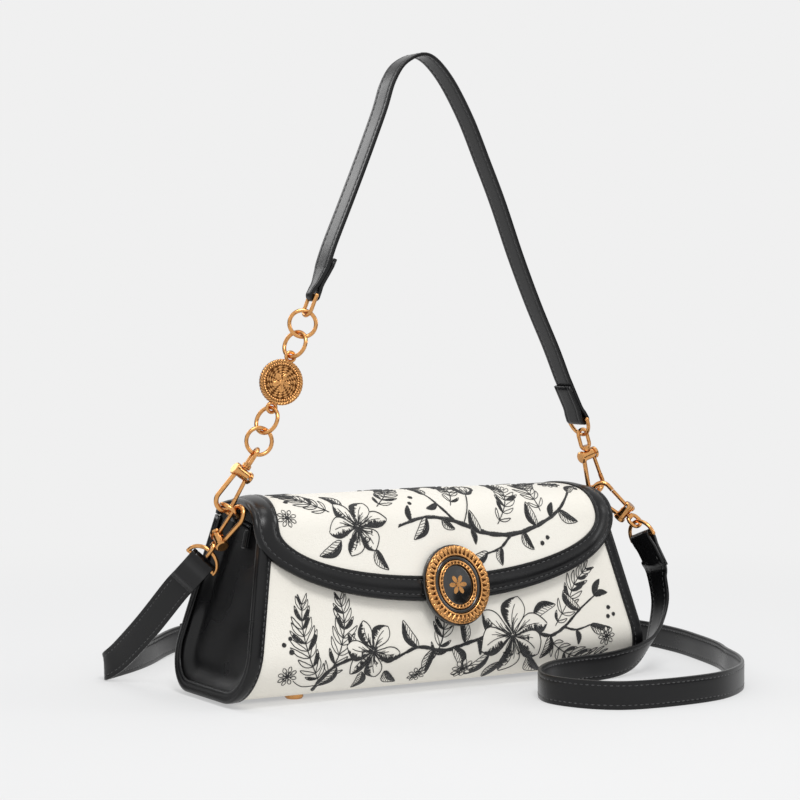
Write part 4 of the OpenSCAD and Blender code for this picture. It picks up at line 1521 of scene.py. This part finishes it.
    def petal(self, root: Vector, tip: Vector, width: float, bend: float, shade: float,
              side: int = 1) -> None:
        """Sew a broad pointed petal over what lies there.

        Args:
            root: Its foot.
            tip: Its point.
            width: Its greatest width.
            bend: How far its middle line bows to the left.
            shade: The share of its half-width that the dark edge takes.
            side: The side that is dark, -1 or 1.
        """
        left, middle, right = self.lens(root, tip, width, bend, 0.6)
        edge, vein, other = through(left, 5), through(middle, 5), through(right, 5)
        self.clear(edge + other[::-1])
        self.line(left, 0.3)
        self.line(right, 0.3)
        self.line(middle[:6], 0.24)
        dark, plain = (edge, other) if side > 0 else (other, edge)
        reach = [a.lerp(b, shade * (0.35 + 0.65 * math.sin(math.pi * i / (len(edge) - 1))))
                 for i, (a, b) in enumerate(zip(dark, vein))]
        self.satin(dark[3:-1], reach[3:-1], 0.28, 0.38, 0.4)
        for i, share in enumerate((0.25, 0.5, 0.75)):
            start, stop = 2, len(vein) // 2 + 3 * (i % 2)
            run = [vein[k].lerp(plain[k], share * k / stop) for k in range(start, stop, 4)]
            if len(run) > 1:
                self.line(run, 0.2)

    def lily(self, middle: Vector, size: float, turn: float = 0.0, squash: float = 1.0) -> None:
        """Sew an open six-petalled bloom with long stamens.

        Args:
            middle: The bloom's throat.
            size: The reach of its petals.
            turn: Its own direction in degrees.
            squash: The share that petals pointing up and down keep of their reach.
        """
        for ring, (reach, width) in enumerate(((1.0, 0.5), (0.93, 0.62))):
            for k in range(3):
                lean = turn + 120 * k + 60 * ring + self.rng.uniform(-6, 6)
                tip = polar(middle, lean, size * reach * self.rng.uniform(0.94, 1.06))
                tip.y = middle.y + (tip.y - middle.y) * squash
                root = polar(middle, lean, size * 0.05)
                side = 1 if math.cos(math.radians(lean - 140)) > 0 else -1
                self.petal(root, tip, size * width, size * self.rng.choice((-0.09, 0.09)),
                           0.62 if ring else 0.9, side)
        for k in range(18):
            lean = turn + 20 * k + self.rng.uniform(-5, 5)
            self.lay([polar(middle, lean, size * 0.03), polar(middle, lean, size * 0.12),
                      polar(middle, lean, size * self.rng.uniform(0.17, 0.3))], 0.26, 0.1)
        for k in range(6):
            lean = turn + 200 + 26 * k
            tip = polar(middle, lean, size * self.rng.uniform(0.4, 0.52))
            self.line([middle, polar(middle, lean - 9, size * 0.25), tip], 0.26)
            self.dark_leaf(polar(tip, lean + 110, size * 0.055), lean - 70, size * 0.12,
                           size * 0.06, 0.0)

    def bud(self, root: Vector, turn: float, length: float, width: float) -> None:
        """Sew a closed bud with two folded petals and its leaves."""
        tip = polar(root, turn, length)
        self.petal(root, polar(tip, turn + 90, length * 0.1), width * 0.8, width * 0.22, 0.9, 1)
        self.petal(root, polar(tip, turn - 90, length * 0.1), width * 0.75, -width * 0.2, 0.5, -1)
        for sign in (-1, 1):
            self.dark_leaf(root, turn + sign * 34, length * 0.5, width * 0.26, sign * 0.8)

    def daisy(self, middle: Vector, size: float, turn: float = 0.0, count: int = 9) -> None:
        """Sew a small open flower with narrow petals and a filled middle."""
        for k in range(count):
            lean = turn + 360 * k / count
            left, mid, right = self.lens(polar(middle, lean, size * 0.22),
                                         polar(middle, lean, size), size * 0.36, 0.0, 0.62)
            self.clear(left + right[::-1])
            self.line(left, 0.24)
            self.line(right, 0.24)
            self.line(mid[:4], 0.2)
        self.berry(middle, size * 0.24)

    def berry(self, middle: Vector, size: float) -> None:
        """Sew a round berry that is filled all over."""
        rim = [polar(middle, a, size) for a in range(0, 360, 30)]
        self.clear(rim)
        self.satin([polar(middle, 180 - a, size) for a in range(0, 181, 20)],
                   [polar(middle, 180 + a, size) for a in range(0, 181, 20)], 0.27, 0.38, 0.03)


@dataclass
class Embroidery:
    """The black flowers and branches on the front panel and on the flap."""

    body: BagBody
    flap: FlapForm

    @staticmethod
    def points(*pairs: tuple[float, float]) -> Path:
        """Return flat points."""
        return [Vector(pair) for pair in pairs]

    def front(self) -> Threads:
        """Sew the front panel's design, in x and height along the face."""
        n, at = Needle(7), self.points
        n.frond(at((-83, 12), (-90, 25), (-93, 40), (-92, 55)), 11, 10.5)
        n.frond(at((-80, 14), (-72, 29), (-68, 43), (-69, 56)), 10, 9.5)
        n.frond(at((-14, 20), (-8, 32), (-6, 44), (-9, 54)), 9, 9)
        n.frond(at((62, 24), (74, 16), (86, 12), (99, 13)), 9, 9.5)
        n.frond(at((66, 32), (76, 44), (83, 55), (92, 63)), 9, 9)
        n.band(at((-84, 4), (-82, 14), (-74, 21), (-62, 24), (-50, 22)), (2.6, 2.2, 1.9, 1.6, 1.4))
        n.band(at((-38, 22), (-24, 27), (-8, 24), (8, 27), (22, 30)), (1.4, 1.9, 2.1, 1.9, 1.6))
        n.band(at((52, 30), (62, 27), (72, 31), (84, 40), (95, 47)), (2.0, 1.9, 1.6, 1.2, 0.8))
        n.band(at((72, 31), (80, 29), (90, 31)), (1.4, 1.1, 0.7))
        for x, y, turn, size, width, bend in (
                (-24, 27, 118, 17, 6.5, 2.0), (-15, 25, 262, 15, 6.2, -2.0),
                (-2, 25, 300, 16, 6.4, 2.2), (6, 27, 96, 15, 6.0, -1.6),
                (-74, 20, 230, 15, 6.0, 1.8), (-64, 24, 100, 14, 5.4, -1.4),
                (84, 40, 132, 14, 5.4, 1.5), (90, 31, 350, 14, 5.6, -1.8),
                (62, 27, 250, 14, 5.8, 1.6)):
            n.leaf(flat(x, y), turn, size, width, bend)
        for x, y, turn, size, width in ((95, 47, 60, 11, 4.4), (95, 47, 8, 10, 4.0),
                                        (80, 29, 282, 9, 3.6), (-52, 22, 292, 10, 3.8),
                                        (14, 29, 282, 10, 3.8)):
            n.dark_leaf(flat(x, y), turn, size, width)
        n.leaf(flat(22, 20), 214, 24, 8.0, 3.0)
        n.leaf(flat(30, 14), 252, 15, 7.0, -2.0)
        n.leaf(flat(48, 16), 318, 21, 7.6, -2.8)
        n.leaf(flat(52, 38), 20, 17, 6.6, 2.2)
        n.lily(flat(37, 29), 25, 18, 0.92)
        n.leaf(flat(-58, 16), 262, 13, 6.2, 1.6)
        n.leaf(flat(-44, 15), 318, 14, 6.0, -1.8)
        n.lily(flat(-52, 27), 17, -14, 0.95)
        n.daisy(flat(7, 11), 7.0, 10)
        n.daisy(flat(-22, 10), 5.6, 24, 8)
        n.daisy(flat(101, 24), 5.6, 5, 8)
        n.daisy(flat(-103, 17), 5.8, 30, 8)
        n.line(at((-16, 18), (-20, 15), (-22, 12)), 0.27)
        n.line(at((-84, 9), (-92, 9), (-99, 14)), 0.27)
        for x, y, r in ((-101, 30, 1.5), (-105, 34, 1.3), (-101, 37, 1.2), (20, 52, 1.4),
                        (16, 49, 1.3), (104, 40, 1.3), (107, 36, 1.2), (103, 35, 1.3)):
            n.berry(flat(x, y), r)
        form = self.body.form
        return n.sew(lambda x, y, lift: self.body.at(x, form.straight + 31 - y, lift)[0])

    def over(self) -> Threads:
        """Sew the flap's design, in x and distance up from its lower edge."""
        n, at = Needle(23), self.points
        n.frond(at((-70, 52), (-80, 60), (-86, 70), (-88, 82)), 10, 9.5)
        n.frond(at((-40, 54), (-30, 64), (-24, 76), (-24, 90)), 10, 9.5)
        n.frond(at((34, 40), (42, 52), (46, 64), (46, 78)), 10, 9.5)
        n.frond(at((64, 46), (62, 60), (66, 72), (76, 82)), 10, 9.5)
        n.frond(at((6, 52), (12, 66), (12, 80), (6, 94)), 10, 9)
        n.band(at((88, 58), (76, 46), (60, 38), (42, 34), (24, 36), (6, 43), (-12, 46),
                  (-30, 42)), (1.0, 1.8, 2.3, 2.6, 2.6, 2.3, 1.9, 1.4))
        n.band(at((42, 34), (34, 27), (24, 24)), (1.8, 1.4, 0.9))
        n.band(at((6, 43), (-2, 53), (-6, 63)), (1.7, 1.3, 0.8))
        n.band(at((-16, 92), (-34, 100), (-56, 98), (-74, 92)), (0.9, 1.8, 1.7, 0.9))
        n.band(at((22, 98), (40, 102), (62, 99), (84, 92)), (0.9, 1.8, 1.7, 0.9))
        for x, y, turn, size, width, bend in (
                (25, 25, 196, 15, 6.0, 1.8), (34, 27, 268, 10, 4.8, -1.2),
                (60, 38, 106, 15, 6.0, 1.8), (50, 35, 300, 12, 5.2, -1.4),
                (76, 46, 330, 14, 5.6, -1.6), (88, 58, 40, 13, 5.2, 1.4),
                (22, 36, 112, 14, 5.6, 1.6), (-6, 62, 100, 14, 5.6, -1.6),
                (-12, 46, 232, 15, 6.2, 2.0), (-2, 45, 320, 10, 4.6, -1.2),
                (-56, 98, 70, 12, 5.0, 1.4), (-34, 100, 318, 12, 5.0, -1.4),
                (-74, 92, 188, 14, 5.6, 1.6), (40, 102, 108, 12, 5.0, 1.4),
                (62, 99, 300, 13, 5.2, -1.5), (84, 92, 346, 13, 5.2, 1.5)):
            n.leaf(flat(x, y), turn, size, width, bend)
        for x, y, turn, size, width in ((70, 42, 70, 10, 4.0), (16, 38, 282, 9, 3.6),
                                        (-22, 44, 84, 10, 3.8), (-2, 54, 200, 9, 3.6)):
            n.dark_leaf(flat(x, y), turn, size, width)
        n.leaf(flat(-66, 36), 208, 16, 6.6, 2.0)
        n.leaf(flat(-46, 30), 300, 13, 5.8, -1.6)
        n.leaf(flat(-62, 54), 118, 15, 6.0, -1.8)
        n.lily(flat(-55, 43), 18.5, 8, 0.95)
        n.bud(flat(20, 60), 72, 17, 9.5)
        n.line(at((12, 42), (16, 50), (20, 60)), 0.42)
        n.daisy(flat(84, 72), 6.6, 10)
        n.daisy(flat(-4, 80), 6.0, 30, 8)
        n.daisy(flat(-96, 50), 5.6, 12, 8)
        for x, y, r in ((96, 62, 1.4), (99, 66, 1.3), (-16, 60, 1.4), (-19, 55, 1.2),
                        (62, 28, 1.4), (66, 31, 1.3), (-92, 62, 1.3), (-34, 84, 1.3)):
            n.berry(flat(x, y), r)
        last = self.flap.run_at(self.flap.shoulder - self.flap.drop)
        return n.sew(lambda x, y, lift: self.flap.at(x, last - y, lift)[0])

    def build(self, shop: Workshop, thread: bpy.types.Material) -> None:
        """Sew both designs."""
        shop.piece("front_embroidery", self.front(), Slot.BLACK, Body.BAG, finish=thread)
        shop.piece("flap_embroidery", self.over(), Slot.BLACK, Body.FLAP, finish=thread,
                   bends=True)


# --------------------------------------------------------------------------- ornaments


@dataclass
class Medallion:
    """The oval ornament over the flap's lock, stacked up from a black plate."""

    flap: FlapForm
    level: float = 57.4
    width: float = 40.0
    height: float = 43.0
    notches: int = 40
    dots: int = 30

    def spot(self, turn: float, inset: float, high: float) -> Vector:
        """Return a point by its direction, its distance inside the oval and its height."""
        flap = self.flap
        x = (self.width / 2 - inset) * math.cos(turn)
        y = (self.height / 2 - inset) * math.sin(turn)
        front = flap.front_y + flap.slope * (self.level - 91)
        up, out = Vector((0, flap.slope, 1)) / flap.long, Vector((0, -1, flap.slope)) / flap.long
        return Vector((x, front, self.level)) + up * y + out * (high + 0.45)

    def ring(self, section: Profile, stations: int,
             dent: Callable[[float, float], float] | None = None,
             depth: float = 0.0) -> Surface:
        """Return an oval ring.

        Args:
            section: Its section, as the distance inside the oval and the height.
            stations: The number of sections round it.
            dent: Gives how deep, 0 to 1, the surface is dented at a turn and an inset.
            depth: The depth of a full dent.
        """
        surface = Surface()
        top = max(h for _, h in section) - 0.5

        def dented(station: int, k: int) -> float:
            inset, high = section[k]
            return dent(station / stations, inset) if dent and high > top else 0.0

        def place(station: int, k: int) -> Vector:
            inset, high = section[k]
            return self.spot(math.tau * station / stations, inset,
                             high - depth * dented(station, k))

        surface.sweep(len(section), stations, place, loop=True, recess=dented)
        return surface

    def notch(self, share: float, inset: float) -> float:
        """Return the depth of the triangular notches of the frame."""
        phase = abs((share * self.notches) % 1 - 0.5) * 2
        if 1.75 <= inset <= 4.6:
            return 1.0 if phase < 0.74 * (inset - 1.2) / 3.4 else 0.0
        if 0.3 < inset < 0.95:
            return 0.8 if phase > 0.72 else 0.0
        return 0.0

    def dot(self, share: float, inset: float) -> float:
        """Return the depth of the round notches of the bead ring."""
        phase = abs((share * self.dots) % 1 - 0.5) * 2
        return 1.0 if phase < 0.62 and 8.9 <= inset <= 10.05 else 0.0

    def cap(self, inset: float, low: float, high: float, rise: float) -> Surface:
        """Return a filled oval with a domed top."""
        surface = Surface()
        line = [(self.width / 2 - 0.02, low), (inset + 0.25, low), (inset, low + 0.25),
                (inset, high - 0.35), (inset + 0.12, high - 0.1), (inset + 0.4, high)]
        reach = self.width / 2 - inset
        line += [(inset + 0.4 + (reach - 0.42) * t, high + rise * math.sin(t * math.pi / 2))
                 for t in (0.08, 0.2, 0.4, 0.6, 0.8, 1.0)]

        def place(station: int, k: int) -> Vector:
            share, high_at = line[k]
            turn = math.tau * station / 96
            centre = self.spot(0.0, self.width / 2, high_at)
            point = self.spot(turn, share, high_at)
            far = min((self.width / 2 - share) / 2.0, 1.0)
            return centre + (point - centre) * far if far < 1 else point

        surface.sweep(len(line), 96, place, ring=False, loop=True)
        return surface

    def build(self, shop: Workshop) -> None:
        """Make the ornament's pieces."""
        plate = self.cap(-0.75, 0.9, 3.0, 0.0)
        shop.piece("medallion_back_plate", plate, Slot.ENAMEL, Body.FLAP, ["medallion_plate"])
        fine = [0.35, 0.6, 0.9, 1.2, 1.7, 1.76, 2.2, 2.7, 3.2, 3.7, 4.2, 4.59, 4.66, 5.0, 5.3]
        section = [(5.5, 3.0), (0.25, 3.0), (0.1, 3.4), (0.1, 4.7)]
        section += [(i, 5.05 + 0.15 * math.sin(math.pi * i / 5.5)) for i in fine]
        section += [(5.5, 4.8)]
        frame = self.ring(section, self.notches * 12, self.notch, 0.95)
        shop.piece("medallion_notched_frame", frame, Slot.BRONZE, Body.FLAP, ["medallion_frame"])
        section = [(7.95, 3.0), (5.6, 3.0), (5.6, 3.9), (6.0, 4.35), (6.5, 4.6), (7.1, 4.6),
                   (7.6, 4.35), (7.95, 3.9)]
        shop.piece("medallion_gloss_ring", self.ring(section, 120), Slot.ENAMEL, Body.FLAP,
                   ["medallion_channel"])
        section = [(10.45, 3.0), (8.1, 3.0), (8.1, 4.6), (8.3, 4.9), (8.6, 5.0), (8.86, 5.02),
                   (8.92, 5.02), (9.3, 5.05), (9.7, 5.02), (10.02, 5.0), (10.08, 4.98),
                   (10.3, 4.9), (10.45, 4.6)]
        beads = self.ring(section, self.dots * 12, self.dot, 0.9)
        shop.piece("medallion_dotted_ring", beads, Slot.BRONZE, Body.FLAP,
                   ["medallion_bead_ring"])
        shop.piece("medallion_gloss_dome", self.cap(10.6, 3.0, 3.9, 0.4), Slot.ENAMEL, Body.FLAP,
                   ["medallion_dome"])


@dataclass
class Coin:
    """The coin charm: a twisted rim, a ring of beads and a raised flower on a rough field."""

    middle: Vector
    chain: Vector
    turn: float = 28.0
    diameter: float = 25.0
    thickness: float = 3.0
    beads: int = 46
    twists: int = 44

    def __post_init__(self) -> None:
        """Work out the coin's own directions."""
        facing = square_to(self.chain, Vector((0.855, -0.518, 0)))
        normal = self.chain.cross(facing)
        a = math.radians(self.turn)
        self.side = facing * math.cos(a) + normal * math.sin(a)
        self.out = -self.chain.cross(self.side)

    def spot(self, turn: float, reach: float, high: float) -> Vector:
        """Return a point by its direction, its distance from the middle and its height."""
        return self.middle + (self.side * math.cos(turn) + self.chain * math.sin(turn)) * reach \
            + self.out * high

    def face(self) -> Surface:
        """Return the coin's face with its beads, its rough field and its flower."""
        surface = Surface()
        count, rows = 276, 46
        edge = self.diameter / 2 - 1.75

        def relief(turn: float, reach: float) -> float:
            share = turn / math.tau
            if reach > edge - 1.7:
                phase = abs((share * self.beads) % 1 - 0.5) * 2
                ring = abs(reach - (edge - 0.85)) / 0.75
                ball = 1 - phase ** 2 - ring ** 2
                return 0.55 * math.sqrt(ball) if ball > 0 else -0.05
            petal = abs(math.cos(turn * 2.5))
            flower = 5.8 * petal ** 0.7
            if reach < 1.35:
                return 0.62
            if reach < flower:
                ridge = 0.5 * math.sin(math.pi * min(reach / max(flower, 0.1), 1)) ** 0.6
                return ridge * (1.0 if abs(math.sin(turn * 2.5)) > 0.1 or reach > 4 else 0.4)
            curl = math.sin(turn * 10 + reach * 2.3) * math.sin(reach * 2.2 - turn * 5)
            return 0.24 * ease(0.5 + curl * 1.6) if reach < edge - 2.1 else 0.0

        def recess(station: int, k: int) -> float:
            high = relief(math.tau * station / count, edge * k / rows)
            return 1 - ease(high / 0.26)

        def place(station: int, k: int) -> Vector:
            turn, reach = math.tau * station / count, edge * k / rows
            return self.spot(turn, reach, self.thickness / 2 - 0.55 + relief(turn, reach))

        surface.sweep(rows + 1, count, place, ring=False, loop=True, recess=recess)
        return surface

    def rim(self) -> Surface:
        """Return the coin's body with its twisted rim."""
        surface = Surface()
        count = self.twists * 8
        half, edge = self.thickness / 2, self.diameter / 2
        section = [(edge - 1.8, half - 0.7), (edge - 1.75, half - 0.1)]
        section += [(edge - 0.9 + 0.9 * math.sin(a), half - 0.75 + 0.9 * math.cos(a))
                    for a in (math.radians(d) for d in range(-60, 100, 20))]
        section += [(edge - 0.15, -half + 0.5), (edge - 0.5, -half + 0.1), (edge - 0.8, -half),
                    (edge - 1.1, -half), (0.5, -half), (0.2, -half), (0.1, -half + 0.1),
                    (0.1, half - 0.9), (0.3, half - 0.7)]

        def strand(station: int, k: int) -> float:
            if k < 2 or k > 10:
                return 0.0
            phase = (station / count * self.twists + k * 0.16) % 1
            return 1 - abs(math.sin(math.pi * phase)) ** 0.6

        def place(station: int, k: int) -> Vector:
            reach, high = section[k]
            pull = 0.42 * strand(station, k)
            middle = (edge - 0.9, half - 0.75)
            if 2 <= k <= 10:
                reach += (middle[0] - reach) * pull
                high += (middle[1] - high) * pull
            return self.spot(math.tau * station / count, reach, high)

        surface.sweep(len(section), count, place, loop=True,
                      recess=lambda station, k: min(strand(station, k) * 1.1, 1.0))
        return surface

    def lugs(self) -> Surface:
        """Return the two eyes that the chain's rings pass."""
        surface = Surface()
        for sign in (-1, 1):
            centre = self.middle + self.chain * 14.7 * sign

            def place(station: int, k: int) -> Vector:
                turn, round_ = math.tau * station / 32, math.tau * k / 12
                ray = self.side * math.cos(turn) + self.chain * math.sin(turn)
                return centre + ray * (2.5 + 0.95 * math.cos(round_)) \
                    + self.out * 0.95 * math.sin(round_)

            surface.sweep(12, 32, place, loop=True)
        return surface

    def build(self, shop: Workshop) -> None:
        """Make the coin's pieces."""
        shop.piece("coin_relief", self.face(), Slot.BRONZE, Body.COIN, ["coin_face"])
        shop.piece("coin_twisted_rim", self.rim(), Slot.BRONZE, Body.COIN, ["coin_charm"])
        shop.piece("coin_eyes", self.lugs(), Slot.BRONZE, Body.COIN)


# --------------------------------------------------------------------------- studio


@dataclass
class Studio:
    """The camera, the floor and the lamps."""

    eye: tuple[float, float, float] = (-0.6619, -1.0790, 0.2035)
    target: tuple[float, float, float] = (-0.0092, 0.0, 0.1573)
    lens: float = 102.4
    backdrop: float = 0.871
    bounce: float = 0.5

    def camera(self) -> None:
        """Set the camera at the photograph's viewing angle."""
        data = bpy.data.cameras.new("camera")
        data.lens = self.lens
        data.sensor_width = 36.0
        data.clip_start = 0.01
        data.clip_end = 50.0
        obj = bpy.data.objects.new("camera", data)
        obj.location = self.eye
        aim = Vector(self.target) - Vector(self.eye)
        obj.rotation_euler = aim.to_track_quat("-Z", "Y").to_euler()
        bpy.context.scene.collection.objects.link(obj)
        bpy.context.scene.camera = obj

    def world(self) -> None:
        """Give the room a pale even light."""
        world = bpy.data.worlds.new("studio")
        bpy.context.scene.world = world
        world.use_nodes = True
        graph = Graph(world.node_tree)
        back = world.node_tree.nodes["Background"]
        path = graph.node("LightPath")
        seen = graph.maths("ADD", path.outputs["Is Camera Ray"], path.outputs["Is Glossy Ray"])
        seen = graph.maths("ADD", seen, path.outputs["Is Transmission Ray"], clamp=True)
        level = self.backdrop
        tint = graph.blend(seen, (0.60, 0.605, 0.615, 1), (level, level, level, 1))
        graph.tree.links.new(tint, back.inputs["Color"])
        back.inputs["Strength"].default_value = 1.0

    def floor(self) -> None:
        """Lay a pale floor that fades into the background."""
        surface = Surface()
        bmesh.ops.create_grid(surface.bm, x_segments=8, y_segments=8, size=6000)
        bmesh.ops.scale(surface.bm, vec=(MM, MM, MM), verts=surface.bm.verts)
        mesh = bpy.data.meshes.new("floor")
        surface.bm.to_mesh(mesh)
        surface.bm.free()
        obj = bpy.data.objects.new("floor", mesh)
        bpy.context.scene.collection.objects.link(obj)
        material, graph, shader = fresh_material("floor_paper")
        graph.feed(shader, Base_Color=(0.79, 0.79, 0.79, 1), Roughness=1.0,
                   Specular_IOR_Level=0.0)
        where = graph.node("TexCoord").outputs["Object"]
        far = graph.node("VectorMath", _operation="LENGTH", i0=where).outputs["Value"]
        fade = graph.node("MapRange", _interpolation_type="SMOOTHSTEP", Value=far, i1=0.2,
                          i2=0.8, i3=self.bounce, i4=1.0).outputs[0]
        level = self.backdrop
        glow = graph.node("Emission", Color=(level, level, level, 1), Strength=1.0)
        mix = graph.node("MixShader", Fac=fade, i1=shader.outputs[0], i2=glow.outputs[0])
        out = material.node_tree.nodes["Material Output"]
        graph.tree.links.new(mix.outputs[0], out.inputs["Surface"])
        mesh.materials.append(material)

    def lamp(self, name: str, at: tuple, size: float, power: float) -> None:
        """Hang one soft lamp that faces the bag."""
        data = bpy.data.lights.new(name, "AREA")
        data.shape = "DISK"
        data.size = size
        data.energy = power
        obj = bpy.data.objects.new(name, data)
        obj.location = at
        aim = Vector((0, 0, 0.1)) - Vector(at)
        obj.rotation_euler = aim.to_track_quat("-Z", "Y").to_euler()
        bpy.context.scene.collection.objects.link(obj)

    def card(self, name: str, at: tuple, half: float) -> None:
        """Stand a black card that only shows in glossy things."""
        surface = Surface()
        bmesh.ops.create_grid(surface.bm, x_segments=1, y_segments=1, size=half)
        mesh = bpy.data.meshes.new(name)
        turn = (Vector((0, 0, 0.1)) - Vector(at)).to_track_quat("Z", "Y")
        bmesh.ops.rotate(surface.bm, cent=(0, 0, 0), matrix=turn.to_matrix(),
                         verts=surface.bm.verts)
        bmesh.ops.translate(surface.bm, vec=at, verts=surface.bm.verts)
        surface.bm.to_mesh(mesh)
        surface.bm.free()
        obj = bpy.data.objects.new(name, mesh)
        bpy.context.scene.collection.objects.link(obj)
        obj.visible_camera = obj.visible_diffuse = obj.visible_shadow = False
        obj.visible_transmission = False
        material, graph, shader = fresh_material(name)
        graph.feed(shader, Base_Color=(0.0, 0.0, 0.0, 1), Specular_IOR_Level=0.0)
        mesh.materials.append(material)

    def build(self) -> None:
        """Set up the whole studio."""
        self.camera()
        self.world()
        self.floor()
        self.lamp("key", (-0.3, -0.85, 1.5), 0.6, 12.0)
        self.lamp("top", (0.15, 0.1, 1.5), 0.6, 3.0)
        self.lamp("fill", (1.3, -0.9, 0.8), 0.5, 2.5)
        self.lamp("rear", (-0.5, 1.3, 0.9), 0.5, 2.5)
        self.card("front_card", (1.35, -1.35, 0.02), 0.6)
        self.card("rear_card", (-1.0, 1.05, 0.3), 0.5)
        bpy.context.scene.view_settings.view_transform = "Standard"


# --------------------------------------------------------------------------- whole bag


def finishes() -> tuple[dict[Slot, bpy.types.Material], dict[str, bpy.types.Material]]:
    """Return the finish of each slot, and the threads."""
    effects = Effects()
    slots = {
        Slot.IVORY: LeatherFinish("ivory_leather", (0.88, 0.85, 0.775), (0.86, 0.825, 0.745),
                                  0.55, 1500.0, 0.2, 0.3),
        Slot.BLACK: LeatherFinish("black_leather", (0.0045, 0.0045, 0.005),
                                  (0.007, 0.007, 0.0075), 0.27, 2200.0, 0.03, 0.3),
        Slot.BRONZE: MetalFinish("bronze_plating", (0.72, 0.36, 0.13), (0.11, 0.038, 0.010), 0.2),
        Slot.ENAMEL: EnamelFinish("black_enamel", (0.01, 0.01, 0.01)),
        Slot.LINING: WovenFinish("lining_cloth", (0.42, 0.36, 0.27), (0.28, 0.23, 0.17), 260.0),
        Slot.BOARD: WovenFinish("stiff_board", (0.40, 0.34, 0.26), (0.33, 0.27, 0.2), 90.0),
        Slot.STEEL: MetalFinish("plain_steel", (0.62, 0.62, 0.63), (0.34, 0.34, 0.35), 0.3,
                                grazing_shade_share=0.3),
    }
    threads = {
        # The second colour of each thread is its painted glint.
        "seam": ThreadFinish("seam_thread", (0.02, 0.02, 0.022), (0.09, 0.09, 0.09)),
        "embroidery": ThreadFinish("embroidery_thread", (0.005, 0.005, 0.0055),
                                   (0.014, 0.014, 0.015)),
    }
    return ({slot: finish.build(effects) for slot, finish in slots.items()},
            {name: finish.build(effects) for name, finish in threads.items()})


def dress_nodes(frame: dict, shop: Workshop) -> None:
    """Give every node of the construction its slot's finish."""
    slot_of = {row["node"]: Slot(row["material_slot"]) for row in frame["record"]["subparts"]}
    for name, obj in frame["nodes"].items():
        slot = slot_of.get(name)
        if slot is None:
            LOG.warning("%s has no slot", name)
            continue
        obj.data.materials.clear()
        obj.data.materials.append(shop.finishes[slot])


def main() -> None:
    """Build the bag's looks in order."""
    logging.basicConfig(level=logging.INFO, format="%(name)s: %(message)s")
    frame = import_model()
    Studio().build()
    slots, threads = finishes()
    shop = Workshop(slots)
    dress_nodes(frame, shop)
    form = BagForm()
    body, flap = BagBody(form), FlapForm(form)
    body.build(shop, threads["seam"])
    Flap(flap).build(shop, threads["seam"])
    Embroidery(body, flap).build(shop, threads["embroidery"])
    straps = Straps(form)
    straps.build(shop, threads["seam"])
    Medallion(flap).build(shop)
    Coin(straps.coin, straps.chain).build(shop)


if __name__ == "__main__":
    main()
